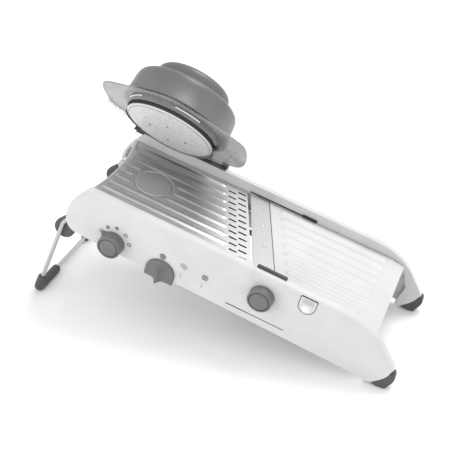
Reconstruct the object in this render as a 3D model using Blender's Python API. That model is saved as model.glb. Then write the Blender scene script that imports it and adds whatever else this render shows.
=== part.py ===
"""Adjustable kitchen slicer on a folding wire stand, with a hinged food guard.

Everything is laid out on the sloping deck. u runs down the deck's length from the high end, y runs
across it (the hand controls are on the -y side) and w stands square to the deck, which is w = 0.
Lengths are in millimetres and turn to metres when an object is made.
"""
import math

import bmesh
import bpy
from mathutils import Matrix, Vector

MM = 0.001
GAP = 0.3                       # clearance between pieces that touch

# Deck and body
DECK_TILT = math.radians(15.0)
DECK_START = (-0.13728, -0.00219, 0.1511)   # world place of u = y = w = 0, metres
WALL_OUT = 74.0                 # outer face of each side wall
WALL_IN = 63.6                  # inner face
WALL_TOP = 12.0
SKIN = 2.4                      # wall thickness below the solid top band
BAND_LOW = -13.0                # underside of that band
LOW_EDGE = -49.2                # lower edge of a wall at u = 0
LOW_EDGE_SLOPE = -0.0224
ROUNDING = 6.0                  # on the walls' outer edges
BEAM_LOW = -30.0
BEAM_HIGH = -13.5
RAIL_IN = 61.0                  # chassis rails, just inside the walls
SCREW_PLACES = ((62.0, -28.0), (148.0, -28.0), (300.0, -28.0))

# Feed plate, blade and ramp
PLATE_HALF = 62.7
PLATE_THICK = 1.5
RIB_PITCH = 13.4
RIB_SHIFT = 1.2                 # y of the middle rib
PLATE_RIB_HIGH = 0.8
PLATE_RIB_WIDE = 5.0
MEDALLION = (50.3, 1.2)
MEDALLION_CLEAR = 27.0
PLATE_EDGE = (142.3, 0.434)     # oblique edges: u at y = 62.7, and growth of u towards -y
BLADE_FRONT = (146.6, 0.405)
BLADE_BACK = (170.1, 0.4253)
RAMP_START = (171.0, 0.4253)
BLADE_LOW = -0.3
BLADE_HIGH = 0.9
RAMP_END = 340.0
RAMP_DIP = 2.5
RAMP_UNDER = -2.8
RAMP_RIB_WIDE = 9.0
RAMP_RIB_HIGH = 0.8
EJECT_SLOPE = 0.42              # the blade slides out along this slope
GRIP_U = (201.5, 236.0)         # blade grip at the outer wall face
RIVETS = ((172.4, 44.2), (180.7, 13.5), (193.6, -16.7), (210.0, -44.9))

# Julienne combs
COMB_PITCH = 9.4
COMB_ROWS = 12
COMB_A = (123.8, 49.1, 0.411, 9.6)   # first u, first y, growth of u towards -y, tooth slot length
COMB_B = (134.2, 53.8, 0.401, 10.0)
SLOT_WIDE = 1.6
TOOTH_THICK = 0.8
TOOTH_TIP = -7.4                # at rest, under the lowered plate
TOOTH_HIGH = 8.5
COMB_BASE = 3.0
COMB_LIFT = 8.4

# Controls on the near wall
KNOB_R = 13.7
KNOB_BASE = WALL_OUT + GAP      # back face of both knobs
JULIENNE_KNOB = (45.5, -37.5)
THICKNESS_KNOB = (217.3, -14.5)
SHAFT_R = 3.0
LIFT_CAM = (6.0, 8.4, math.radians(144.0))    # least radius, rise, turn
DROP_CAM = (5.0, 5.5, math.radians(270.0))
CAM_Y = (24.0, 30.0)
FOLLOWER_U = 183.5              # comb foot on the wedge
WEDGE_TRAVEL = 50.0
SLIDER_U = 104.8
SLIDER_R = 17.2
SLIDER_MID = -46.5
POINTER_SLOT = (183.0, 251.5, -45.0)
BUTTON_U = 264.0
BUTTON_R = 9.4

# Wire stand
WIRE_R = 2.4
LEG_Y = 68.8
STAND_PIVOT = (-12.5, -38.5)
STAND_KNEE = (-18.1, -49.0)
STAND_BAR = (-33.6, -160.2)
BOOT_R = 5.0

# Guard
HINGE = (46.9, 69.5, 15.2)
GUARD_UP = math.radians(52.4)
GUARD_MID = 69.5                # from the hinge to the middle of the guard
FLANGE_NEAR = ((-85.5, 46.0), (-90.0, 92.0), (-66.0, 106.0), (-34.0, 121.0), (0.0, 134.0),
               (34.0, 121.0), (66.0, 101.0), (88.0, 88.0), (88.0, 46.0), (82.0, 20.0),
               (70.0, 8.5), (56.0, 9.0))
FLANGE_WING = ((-50.0, 9.0), (-62.0, 26.0), (-72.0, 32.0), (-81.0, 34.0))   # toothed side wing
TUBE_R = 54.5
TUBE_RIM = -13.6                # on the hinge side
TUBE_RIM_NEAR = -7.6            # on the hand side, where the sleeve shows
DISC_FACE = -13.4
DISC_FACE_R = 49.6
DISC_R = 52.2
DISC_THICK = 2.0
PRONG_HIGH = 0.8
SHOE_U = (-9.6, 110.0)
PRONGS = ((-24.2, -4.8), (-0.7, 12.8), (-4.1, -27.7), (19.5, -11.8))


# ---- outlines -------------------------------------------------------------------------------------

def bezier(start, control, end, steps):
    """Points of a one-control curve, without its last point."""
    points = []
    for i in range(steps):
        t = i / steps
        points.append(tuple((1 - t) ** 2 * a + 2 * t * (1 - t) * b + t * t * c
                            for a, b, c in zip(start, control, end)))
    return points


def arc(middle, radius, start, end, steps):
    """Points of an arc, both ends included; angles in degrees."""
    points = []
    for i in range(steps + 1):
        angle = math.radians(start + (end - start) * i / steps)
        points.append((middle[0] + radius * math.cos(angle), middle[1] + radius * math.sin(angle)))
    return points


def rounded_box(a0, a1, b0, b1, radius, steps=4):
    """A rectangle with round corners."""
    return (arc((a1 - radius, b1 - radius), radius, 0, 90, steps)
            + arc((a0 + radius, b1 - radius), radius, 90, 180, steps)
            + arc((a0 + radius, b0 + radius), radius, 180, 270, steps)
            + arc((a1 - radius, b0 + radius), radius, 270, 360, steps))


def box_outline(a0, a1, b0, b1):
    return [(a0, b0), (a1, b0), (a1, b1), (a0, b1)]


def oblique(edge, y):
    """u of an oblique edge at y."""
    return edge[0] + (PLATE_HALF - y) * edge[1]


def low_edge(u):
    return LOW_EDGE + LOW_EDGE_SLOPE * u


def rib_rows():
    return [RIB_SHIFT + RIB_PITCH * k for k in range(-4, 5)]


# ---- solids ---------------------------------------------------------------------------------------

AXES = {"uy": (0, 1, 2), "uw": (0, 2, 1), "yw": (1, 2, 0)}


def add_prism(bm, outline, low, high, plane="uy"):
    """A straight prism: the outline lies in the named plane, low and high are on the third axis."""
    a, b, c = AXES[plane]
    rings = []
    for level in (low, high):
        ring = []
        for point in outline:
            place = [0.0, 0.0, 0.0]
            place[a] = point[0]
            place[b] = point[1]
            place[c] = level
            ring.append(bm.verts.new(place))
        rings.append(ring)
    close_rings(bm, rings)


def close_rings(bm, rings):
    """Side faces between rings of points in a row, and a face on each end."""
    count = len(rings[0])
    for lower, upper in zip(rings, rings[1:]):
        for i in range(count):
            j = (i + 1) % count
            bm.faces.new((lower[i], lower[j], upper[j], upper[i]))
    bm.faces.new(rings[0])
    bm.faces.new(rings[-1])


def add_turned(bm, profile, middle, along, steps=32, closed=False):
    """Turns (radius, height) points round an axis through middle.

    along is the axis as a vector. A closed profile makes a ring; an open one starts and ends on
    the axis, where its radius is 0.
    """
    axis = Vector(along).normalized()
    side = axis.orthogonal().normalized()
    other = axis.cross(side)
    rings = []
    for radius, height in profile:
        base = Vector(middle) + axis * height
        if radius == 0:
            rings.append([bm.verts.new(base)])
            continue
        ring = []
        for i in range(steps):
            angle = 2 * math.pi * i / steps
            ring.append(bm.verts.new(base + (side * math.cos(angle) + other * math.sin(angle)) * radius))
        rings.append(ring)
    if closed:
        rings.append(rings[0])
    for lower, upper in zip(rings, rings[1:]):
        for i in range(steps):
            j = (i + 1) % steps
            if len(lower) == 1:
                bm.faces.new((lower[0], upper[j], upper[i]))
            elif len(upper) == 1:
                bm.faces.new((lower[i], lower[j], upper[0]))
            else:
                bm.faces.new((lower[i], lower[j], upper[j], upper[i]))


def add_rod(bm, start, end, radius, steps=16):
    """A plain cylinder between two points."""
    length = (Vector(end) - Vector(start)).length
    direction = Vector(end) - Vector(start)
    add_turned(bm, [(0, 0), (radius, 0), (radius, length), (0, length)], start, direction, steps)


def add_tube(bm, path, radius, bore=0.0, steps=8):
    """A tube swept along a path of points, hollow when bore is given."""
    points = [Vector(p) for p in path]
    normal = (points[1] - points[0]).orthogonal().normalized()
    outer = []
    inner = []
    for i, point in enumerate(points):
        tangent = (points[min(i + 1, len(points) - 1)] - points[max(i - 1, 0)]).normalized()
        normal = (normal - tangent * normal.dot(tangent)).normalized()
        side = tangent.cross(normal)
        for ring, size in ((outer, radius), (inner, bore)):
            if size > 0:
                ring.append([bm.verts.new(point + (normal * math.cos(a) + side * math.sin(a)) * size)
                             for a in (2 * math.pi * k / steps for k in range(steps))])
    if not inner:
        close_rings(bm, outer)
        return
    loop = outer + inner[::-1] + [outer[0]]
    for lower, upper in zip(loop, loop[1:]):
        for i in range(steps):
            j = (i + 1) % steps
            bm.faces.new((lower[i], lower[j], upper[j], upper[i]))


def bend(before, corner, after, radius, steps=5):
    """Points of a round bend at a corner between two straight runs."""
    corner = Vector(corner)
    back = (Vector(before) - corner).normalized()
    ahead = (Vector(after) - corner).normalized()
    half = back.angle(ahead) / 2
    reach = radius / math.tan(half)
    middle = corner + (back + ahead).normalized() * radius / math.sin(half)
    first = corner + back * reach - middle
    last = corner + ahead * reach - middle
    turn = first.angle(last)
    axis = first.cross(last).normalized()
    return [middle + Matrix.Rotation(turn * k / steps, 3, axis) @ first for k in range(steps + 1)]


# ---- objects --------------------------------------------------------------------------------------

def clear_scene():
    for old in list(bpy.data.objects):
        bpy.data.objects.remove(old, do_unlink=True)


def add_empty(name, parent, place, turn=(0.0, 0.0, 0.0)):
    empty = bpy.data.objects.new(name, None)
    bpy.context.scene.collection.objects.link(empty)
    empty.parent = parent
    empty.location = place
    empty.rotation_euler = turn
    return empty


def make_mesh(name, bm, pivot):
    bmesh.ops.recalc_face_normals(bm, faces=bm.faces)
    bmesh.ops.translate(bm, verts=bm.verts, vec=-Vector(pivot))
    bmesh.ops.scale(bm, verts=bm.verts, vec=(MM, MM, MM))
    mesh = bpy.data.meshes.new(name)
    bm.to_mesh(mesh)
    bm.free()
    return mesh


def place_object(name, bm, parent, pivot):
    mesh = make_mesh(name, bm, pivot)
    mesh.shade_smooth()
    mesh.set_sharp_from_angle(angle=math.radians(35))
    piece = bpy.data.objects.new(name, mesh)
    bpy.context.scene.collection.objects.link(piece)
    piece.parent = parent
    piece.location = Vector(pivot) * MM
    return piece


def make_piece(name, bm, finish, parent, pivot=(0.0, 0.0, 0.0)):
    """One sub-part: its mesh, its own material and its origin at the pivot."""
    piece = place_object(name, bm, parent, pivot)
    colour, roughness, metallic = finish
    material = bpy.data.materials.new(name)
    material.use_nodes = True
    shader = material.node_tree.nodes["Principled BSDF"]
    shader.inputs["Base Color"].default_value = (*colour, 1.0)
    shader.inputs["Roughness"].default_value = roughness
    shader.inputs["Metallic"].default_value = metallic
    piece.data.materials.append(material)
    return piece


def shape_with(piece, tool_bm, operation):
    """Adds or cuts a second shape, kept as a hidden guide."""
    guide = place_object(piece.name + "_" + operation.lower(), tool_bm, piece.parent, (0.0, 0.0, 0.0))
    guide.hide_render = True
    guide.display_type = "WIRE"
    step = piece.modifiers.new(operation.lower(), "BOOLEAN")
    step.operation = operation
    step.solver = "EXACT"
    step.object = guide


WHITE = ((0.80, 0.80, 0.79), 0.35, 0.0)
GREY = ((0.22, 0.22, 0.22), 0.45, 0.0)
RUBBER = ((0.09, 0.09, 0.095), 0.7, 0.0)
DARK = ((0.05, 0.05, 0.05), 0.5, 0.0)
STEEL = ((0.55, 0.55, 0.56), 0.28, 1.0)
CLEAR = ((0.42, 0.42, 0.43), 0.3, 0.0)


# ---- body -----------------------------------------------------------------------------------------

def wall_outline():
    """(u, w, rounding share) of a wall: rounded high end, low edge, seam of the foot, sloping end."""
    points = []
    for u, w in bezier((5, WALL_TOP), (-16.5, -12), (-16.5, -32), 10):
        points.append((u, w, 1.0))
    for u, w in bezier((-16.5, -32), (-16.5, -46.5), (2, LOW_EDGE), 8):
        points.append((u, w, max(0.0, min(1.0, (w - LOW_EDGE - 1.5) / 12.0))))
    points.append((8.0, low_edge(8.0), 0.0))
    points.append((150.0, low_edge(150.0), 0.0))
    for u, w in bezier((355, low_edge(355)), (367.1, -45.4), (369.2, -36.1), 6):
        points.append((u, w, 0.0))
    points.append((369.2, -36.1, 0.0))
    points.append((371.8, -31.0, 0.5))
    points.append((361.0, -19.3, 1.0))
    for u, w in bezier((350, -7.5), (331, WALL_TOP), (292, WALL_TOP), 10):
        points.append((u, w, 1.0))
    for u in (292.0, 200.0, 100.0):
        points.append((u, WALL_TOP, 1.0))
    return points


def inset_points(outline, depth):
    """Moves each point inwards by depth times its rounding share."""
    count = len(outline)
    moved = []
    for i, (u, w, share) in enumerate(outline):
        before = outline[i - 1]
        after = outline[(i + 1) % count]
        run = Vector((after[0] - before[0], after[1] - before[1])).normalized()
        moved.append((u - run.y * depth * share, w + run.x * depth * share))
    return moved


def wall_mesh(side):
    """side is -1 for the near wall and 1 for the far one."""
    outline = wall_outline()
    bm = bmesh.new()
    rings = []
    for step in range(7):
        angle = math.radians(15 * step)
        depth = ROUNDING * (1 - math.cos(angle))
        level = WALL_OUT - ROUNDING * (1 - math.sin(angle))
        if step == 0:
            rings.append([bm.verts.new((u, side * WALL_IN, w)) for u, w in inset_points(outline, 0)])
        rings.append([bm.verts.new((u, side * level, w)) for u, w in inset_points(outline, depth)])
    close_rings(bm, rings)
    return bm


def wall_pocket(side):
    """The hollow behind a wall's lower half, open inwards and downwards."""
    outline = [(-30.0, -39.0), (-13.6, -34.0), (-12.0, -20.0), (-9.0, BAND_LOW), (344.0, BAND_LOW),
               (352.0, -30.0), (346.0, -75.0), (-30.0, -75.0)]
    bm = bmesh.new()
    inside = side * (WALL_IN - 4.0)
    outside = side * (WALL_OUT - SKIN)
    add_prism(bm, outline, min(inside, outside), max(inside, outside), "uw")
    return bm


def wall_bosses(side):
    bm = bmesh.new()
    for u, w in SCREW_PLACES:
        add_rod(bm, (u, side * (WALL_IN + 0.1), w), (u, side * (WALL_OUT - SKIN + 1.0), w), 3.6)
    return bm


def screw_bores(reach):
    bm = bmesh.new()
    for side in (-1, 1):
        for u, w in SCREW_PLACES:
            add_rod(bm, (u, side * (RAIL_IN - 2.0), w), (u, side * reach, w), 1.8, 12)
    return bm


def make_near_wall(deck):
    wall = make_piece("near_wall", wall_mesh(-1), WHITE, deck)
    shape_with(wall, wall_pocket(-1), "DIFFERENCE")
    shape_with(wall, wall_bosses(-1), "UNION")
    bm = bmesh.new()
    grip = [(GRIP_U[0] - 0.4 - (WALL_OUT - y) * EJECT_SLOPE, -y) for y in (60.0, 80.0)]
    grip += [(GRIP_U[1] + 0.4 - (WALL_OUT - y) * EJECT_SLOPE, -y) for y in (80.0, 60.0)]
    add_prism(bm, grip, BLADE_LOW - GAP, WALL_TOP + 3, "uy")
    for u, w in (JULIENNE_KNOB, THICKNESS_KNOB):
        add_rod(bm, (u, -80, w), (u, -60, w), SHAFT_R + GAP)
    add_prism(bm, rounded_box(POINTER_SLOT[0], POINTER_SLOT[1], POINTER_SLOT[2] - 0.8,
                              POINTER_SLOT[2] + 0.8, 0.79), -80, -70, "uw")
    add_prism(bm, button_outline(BUTTON_R + GAP), -80, -66.4, "uw")
    shape_with(wall, bm, "DIFFERENCE")
    shape_with(wall, screw_bores(WALL_OUT - SKIN - 0.6), "DIFFERENCE")


def make_far_wall(deck):
    wall = make_piece("far_wall", wall_mesh(1), WHITE, deck)
    shape_with(wall, wall_pocket(1), "DIFFERENCE")
    shape_with(wall, wall_bosses(1), "UNION")
    bm = bmesh.new()
    add_prism(bm, box_outline(-30.0, 305.0, 3.2, 5.7), WALL_OUT - 1.6, WALL_OUT + 4.0, "uw")
    shape_with(wall, bm, "DIFFERENCE")
    shape_with(wall, screw_bores(WALL_OUT - SKIN - 0.6), "DIFFERENCE")


def make_chassis(deck):
    """Two rails and three cross beams that hold the walls apart."""
    bm = bmesh.new()
    rim = WALL_IN - GAP
    outer = box_outline(8.0, 336.0, -rim, rim)
    add_prism(bm, outer, BEAM_LOW, BEAM_LOW + 4.0, "uy")
    chassis = make_piece("chassis", bm, WHITE, deck)
    windows = bmesh.new()
    for u0, u1 in ((12.0, 252.0), (256.0, 332.0)):
        add_prism(windows, box_outline(u0, u1, -RAIL_IN, RAIL_IN), BEAM_LOW - 2, BEAM_LOW + 6, "uy")
    shape_with(chassis, windows, "DIFFERENCE")
    beams = bmesh.new()
    for u in (8.0, 252.0, 332.0):
        add_prism(beams, box_outline(u, u + 4.0, -rim, rim), BEAM_LOW, BEAM_HIGH, "uy")
    shape_with(chassis, beams, "UNION")
    shape_with(chassis, screw_bores(WALL_IN + 2), "DIFFERENCE")


def make_screws(deck):
    """Six pan-head screws that join the rails to the walls."""
    profile = [(0, 0), (3.0, 0.4), (3.0, 2.0), (1.5, 2.0), (1.5, 9.0), (0, 9.6)]
    for label, side in (("near", -1), ("far", 1)):
        for number, (u, w) in enumerate(SCREW_PLACES, 1):
            bm = bmesh.new()
            add_turned(bm, profile, (u, side * (RAIL_IN - 2.0 - GAP), w), (0, side, 0), 12)
            make_piece(f"wall_screw_{label}_{number}", bm, STEEL, deck)


def make_feet(deck):
    """Rubber boots on the low corners of the walls, with a flat sole on the floor."""
    for name, side in (("foot_near", -1), ("foot_far", 1)):
        seam = bezier((355.4, low_edge(355.4) + 0.2), (367.5, -45.6), (369.6, -36.2), 6)
        outer = [(369.6, -36.2), (373.8, -34.0), (376.4, -39.0), (376.0, -45.0), (373.6, -51.5)]
        sole = [(371.6, floor_w(371.6)), (367.4, floor_w(367.4)), (362.0, -58.2)]
        bm = bmesh.new()
        ends = sorted((side * (WALL_IN + 0.6), side * (WALL_OUT - 0.2)))
        add_prism(bm, seam + outer + sole, ends[0], ends[1], "uw")
        make_piece(name, bm, RUBBER, deck)


def floor_w(u):
    """w of the floor below u."""
    return (u * MM * math.sin(DECK_TILT) - DECK_START[2]) / math.cos(DECK_TILT) / MM


# ---- feed plate, blade, ramp ----------------------------------------------------------------------

def plate_outline():
    points = []
    for i in range(13):
        y = PLATE_HALF - 2 * PLATE_HALF * i / 12
        points.append((3.9 - 6.9 * (y / 58.0) ** 2, y))
    points.append((oblique(PLATE_EDGE, -PLATE_HALF), -PLATE_HALF))
    points.append((oblique(PLATE_EDGE, PLATE_HALF), PLATE_HALF))
    return points


def plate_ribs(bm):
    """Raised ribs, broken round the medallion."""
    half = PLATE_RIB_WIDE / 2
    for y in rib_rows():
        start = 9.0 - 6.9 * (y / 58.0) ** 2
        end = 117.6 + (54.7 - y) * 0.414
        across = y - MEDALLION[1]
        spans = [(start, end)]
        if abs(across) < MEDALLION_CLEAR - 2:
            reach = math.sqrt(MEDALLION_CLEAR ** 2 - across ** 2)
            spans = [(start, MEDALLION[0] - reach), (MEDALLION[0] + reach, end)]
        for u0, u1 in spans:
            add_prism(bm, rounded_box(u0, u1, y - half, y + half, half - 0.01, 3),
                      -0.5, PLATE_RIB_HIGH, "uy")


def comb_rows(comb):
    u0, y0, slope, length = comb
    rows = []
    for k in range(COMB_ROWS):
        y = y0 - COMB_PITCH * k
        rows.append((u0 + (y0 - y) * slope, y, length))
    return rows


def make_feed_plate(deck):
    bm = bmesh.new()
    add_prism(bm, plate_outline(), -PLATE_THICK, 0.0, "uy")
    plate = make_piece("feed_plate", bm, STEEL, deck)
    ribs = bmesh.new()
    plate_ribs(ribs)
    shape_with(plate, ribs, "UNION")
    slots = bmesh.new()
    for comb in (COMB_A, COMB_B):
        for u, y, length in comb_rows(comb):
            add_prism(slots, box_outline(u, u + length, y - SLOT_WIDE / 2, y + SLOT_WIDE / 2),
                      -5, 5, "uy")
    shape_with(plate, slots, "DIFFERENCE")


def make_feed_carrier(deck):
    """The moulded carrier under the plate, with two stirrups that hang below the cams."""
    bm = bmesh.new()
    top = -PLATE_THICK - GAP
    low = top - 4.2
    ends = {1: 136.0, -1: 178.0}
    outline = [(10.0, -61.5), (ends[-1], -61.5), (ends[-1], -57.5), (16.0, -57.5),
               (16.0, 57.5), (ends[1], 57.5), (ends[1], 61.5), (10.0, 61.5)]
    add_prism(bm, outline, low, top, "uy")
    carrier = make_piece("feed_carrier", bm, GREY, deck)
    parts = bmesh.new()
    add_prism(parts, box_outline(98.0, 103.0, -59.0, 59.0), low, top, "uy")
    shape_with(carrier, parts, "UNION")
    stirrups = bmesh.new()
    u, w = THICKNESS_KNOB
    pad = w - DROP_CAM[0] - 0.4
    side_view = [(98.0, top - 0.5), (98.0, -26.0), (u + 4.0, -26.0), (u + 4.0, -23.0),
                 (u + 1.2, -23.0), (u + 1.2, pad), (u - 1.2, pad), (u - 1.2, -23.0),
                 (103.0, -23.0), (103.0, top - 0.5)]
    for side in (-1, 1):
        y0, y1 = sorted((side * CAM_Y[0], side * CAM_Y[1]))
        add_prism(stirrups, side_view, y0, y1, "uw")
    shape_with(carrier, stirrups, "UNION")


def band_outline(front, back, half, front_shift=0.0, back_shift=0.0):
    """The oblique strip between two edges."""
    return [(oblique(front, half) + front_shift, half), (oblique(front, -half) + front_shift, -half),
            (oblique(back, -half) + back_shift, -half), (oblique(back, half) + back_shift, half)]


def eject_pivot():
    return (oblique(BLADE_FRONT, 0.0), 0.0, 0.0)


def make_blade(deck):
    """The blade, ground to an edge along its front, with its moulded grip and four rivets."""
    pivot = eject_pivot()
    bm = bmesh.new()
    rows = []
    for y in (PLATE_HALF, -PLATE_HALF):
        front = oblique(BLADE_FRONT, y)
        back = oblique(BLADE_BACK, y)
        rows.append([bm.verts.new(p) for p in ((front, y, BLADE_HIGH - 0.3), (front + 5.0, y, BLADE_HIGH),
                                               (back, y, BLADE_HIGH), (back, y, BLADE_LOW),
                                               (front + 1.0, y, BLADE_LOW))])
    close_rings(bm, rows)
    make_piece("blade", bm, STEEL, deck, pivot)

    low = BLADE_HIGH + 0.05
    for number, (u, y) in enumerate(RIVETS, 1):
        rivet = bmesh.new()
        add_turned(rivet, [(0, low), (2.6, low), (2.2, low + 0.35), (0, low + 0.45)],
                   (u, y, 0), (0, 0, 1), 12)
        make_piece(f"blade_rivet_{number}", rivet, DARK, deck, pivot)

    grip = bmesh.new()
    inner = WALL_IN - 0.6
    outline = [(GRIP_U[0] - (WALL_OUT - inner) * EJECT_SLOPE, -inner), (GRIP_U[0], -WALL_OUT),
               (GRIP_U[1], -WALL_OUT), (GRIP_U[1] - (WALL_OUT - inner) * EJECT_SLOPE, -inner)]
    add_prism(grip, outline, BLADE_LOW, WALL_TOP, "uy")
    make_piece("blade_grip", grip, WHITE, deck, pivot)


def make_blade_bed(deck):
    """The fixed shelf that the blade slides on."""
    bm = bmesh.new()
    add_prism(bm, band_outline(BLADE_FRONT, BLADE_BACK, PLATE_HALF, 9.0, -0.2),
              BLADE_LOW - GAP - 2.2, BLADE_LOW - GAP, "uy")
    make_piece("blade_bed", bm, DARK, deck)


def make_ramp(deck):
    """The fixed run-out ramp: ribbed, with side skirts, dipping at its low end."""
    bm = bmesh.new()
    half = PLATE_HALF - 0.1
    side_view = [(165.0, RAMP_UNDER), (322.0, RAMP_UNDER), (RAMP_END, RAMP_UNDER - RAMP_DIP),
                 (RAMP_END, -RAMP_DIP), (325.0, 0.0), (165.0, 0.0)]
    add_prism(bm, side_view, -half, half, "uw")
    ramp = make_piece("ramp", bm, WHITE, deck)
    start = bmesh.new()
    add_prism(start, [(150.0, 70.0), (150.0, -70.0), (oblique(RAMP_START, -70.0), -70.0),
                      (oblique(RAMP_START, 70.0), 70.0)], -20, 20, "uy")
    shape_with(ramp, start, "DIFFERENCE")
    ribs = bmesh.new()
    wide = RAMP_RIB_WIDE / 2
    for y in rib_rows():
        u0 = 189.2 + (50.6 - y) * 0.4214
        add_prism(ribs, rounded_box(u0, 321.0, y - wide, y + wide, wide - 0.01, 4),
                  -0.5, RAMP_RIB_HIGH, "uy")
    for side in (-1, 1):
        y0, y1 = sorted((side * half, side * (half - 2.6)))
        add_prism(ribs, box_outline(248.0, 338.0, y0, y1), BEAM_HIGH + GAP, RAMP_UNDER + 0.5, "uy")
    shape_with(ramp, ribs, "UNION")


# ---- julienne combs and their drives --------------------------------------------------------------

def comb_mesh(comb, tail):
    """Tooth rows on an oblique bar; tail carries the bar on to the given y."""
    bm = bmesh.new()
    u0, y0, slope, length = comb
    top = TOOTH_TIP - TOOTH_HIGH
    first = y0 + 2.0
    last = tail
    outline = [(u0 + (y0 - first) * slope + 1.0, first), (u0 + (y0 - last) * slope + 1.0, last),
               (u0 + (y0 - last) * slope + length - 1.0, last),
               (u0 + (y0 - first) * slope + length - 1.0, first)]
    add_prism(bm, outline, top - COMB_BASE, top, "uy")
    return bm


def comb_teeth(comb):
    bm = bmesh.new()
    top = TOOTH_TIP - TOOTH_HIGH
    half = TOOTH_THICK / 2
    for u, y, length in comb_rows(comb):
        side_view = [(u + 1.6, top - 1.0), (u + length - 1.6, top - 1.0), (u + length - 1.6, TOOTH_TIP - 2),
                     (u + 3.0, TOOTH_TIP), (u + 1.6, TOOTH_TIP)]
        add_prism(bm, side_view, y - half, y + half, "uw")
    return bm


def make_comb(name, comb, tail, arm, deck):
    top = TOOTH_TIP - TOOTH_HIGH
    piece = make_piece(name, comb_mesh(comb, tail), STEEL, deck, (comb[0], comb[1], top))
    shape_with(piece, comb_teeth(comb), "UNION")
    shape_with(piece, arm, "UNION")


def make_combs(deck):
    """Comb A reaches back to the cam on the julienne shaft, comb B stands on the wedge."""
    low = TOOTH_TIP - TOOTH_HIGH - COMB_BASE
    u, w = JULIENNE_KNOB
    foot = w + LIFT_CAM[0] + 0.5
    arm = bmesh.new()
    side_view = [(u - 0.6, foot), (u + 0.6, foot), (u + 0.6, foot + 2.0), (167.0, foot + 2.0),
                 (167.0, low + 1.0), (161.0, low + 1.0), (161.0, foot + 5.0), (u - 4.0, foot + 5.0),
                 (u - 4.0, foot + 2.0), (u - 0.6, foot + 2.0)]
    add_prism(arm, side_view, -41.0, -35.0, "uw")
    make_comb("julienne_comb_a", COMB_A, -56.5, arm, deck)
    leg = bmesh.new()
    add_prism(leg, box_outline(FOLLOWER_U - 1.0, FOLLOWER_U + 1.0, -57.3, -53.7), -36.0, low + 1.0, "uy")
    make_comb("julienne_comb_b", COMB_B, -60.0, leg, deck)


def cam_outline(cam, middle, start, sense):
    """A snail cam: constant least radius, steady rise over its turn, constant again, then back."""
    least, rise, turn = cam
    dwell = math.radians(25.0)
    points = []
    marks = [(-dwell, least), (-dwell / 2, least)]
    steps = 18
    marks += [(turn * k / steps, least + rise * k / steps) for k in range(steps + 1)]
    marks += [(turn + dwell / 2, least + rise), (turn + dwell, least + rise)]
    for angle, radius in marks:
        along = start + sense * angle
        points.append((middle[0] + radius * math.cos(along), middle[1] + radius * math.sin(along)))
    return points


def make_knob(name, middle, depth, deck, pointer_angle):
    """A turned knob with a ring groove in its face, and a pointer lug at its base if it has an angle."""
    u, w = middle
    base = KNOB_BASE
    bm = bmesh.new()
    profile = [(0, 0), (KNOB_R + 0.2, 0), (KNOB_R + 0.2, 1.6), (KNOB_R, 2.2), (KNOB_R - 0.4, depth - 1.2),
               (KNOB_R - 1.6, depth), (KNOB_R - 2.6, depth), (KNOB_R - 3.0, depth - 0.6),
               (KNOB_R - 3.6, depth - 0.6), (KNOB_R - 4.0, depth), (0, depth)]
    add_turned(bm, profile, (u, -base, w), (0, -1, 0), 36)
    knob = make_piece(name, bm, GREY, deck, (u, -base, w))
    if pointer_angle is None:
        return
    lug = bmesh.new()
    tip = Vector((math.cos(pointer_angle), math.sin(pointer_angle)))
    across = Vector((-tip.y, tip.x))
    start = Vector(middle) + tip * (KNOB_R - 3)
    end = Vector(middle) + tip * (KNOB_R + 3.2)
    outline = [tuple(start + across * 3), tuple(end), tuple(start - across * 3)]
    add_prism(lug, outline, -base - 1.4, -base - 0.2, "uw")
    shape_with(knob, lug, "UNION")


def make_julienne_drive(deck):
    u, w = JULIENNE_KNOB
    make_knob("julienne_knob", JULIENNE_KNOB, 12.5, deck, math.radians(150))
    shaft = bmesh.new()
    add_rod(shaft, (u, -WALL_OUT, w), (u, -30.0, w), SHAFT_R, 20)
    make_piece("julienne_shaft", shaft, STEEL, deck, (u, -KNOB_BASE, w))
    cam = bmesh.new()
    add_prism(cam, cam_outline(LIFT_CAM, JULIENNE_KNOB, math.pi / 2, -1), -41.0, -35.0, "uw")
    piece = make_piece("lift_cam", cam, GREY, deck, (u, -38.0, w))
    cut_shaft_bore(piece, u, w)


def cut_shaft_bore(piece, u, w):
    bore = bmesh.new()
    add_rod(bore, (u, -70.0, w), (u, 70.0, w), SHAFT_R + GAP, 20)
    shape_with(piece, bore, "DIFFERENCE")


def make_thickness_drive(deck):
    u, w = THICKNESS_KNOB
    make_knob("thickness_knob", THICKNESS_KNOB, 10.5, deck, None)
    shaft = bmesh.new()
    add_rod(shaft, (u, -WALL_OUT, w), (u, WALL_IN - GAP, w), SHAFT_R, 20)
    make_piece("thickness_shaft", shaft, STEEL, deck, (u, -KNOB_BASE, w))
    for name, side in (("drop_cam_near", -1), ("drop_cam_far", 1)):
        y0, y1 = sorted((side * CAM_Y[0], side * CAM_Y[1]))
        cam = bmesh.new()
        add_prism(cam, cam_outline(DROP_CAM, THICKNESS_KNOB, -math.pi / 2, -1), y0, y1, "uw")
        piece = make_piece(name, cam, GREY, deck, (u, y0, w))
        cut_shaft_bore(piece, u, w)


def make_thickness_pointer(deck):
    """The dark pointer that shows in the slot, on the slide behind it."""
    u0, _, w = POINTER_SLOT
    bm = bmesh.new()
    inner = WALL_OUT - SKIN - GAP
    add_prism(bm, box_outline(u0 - 8.0, u0 + 28.0, w - 3.0, w + 3.0), -inner, -inner + 2.0, "uw")
    piece = make_piece("thickness_pointer", bm, DARK, deck, (u0, -inner, w))
    tongue = bmesh.new()
    add_prism(tongue, rounded_box(u0 + 0.5, u0 + 24.5, w - 0.5, w + 0.5, 0.49, 3),
              -WALL_OUT + 0.5, -inner + 1.0, "uw")
    shape_with(piece, tongue, "UNION")


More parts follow.
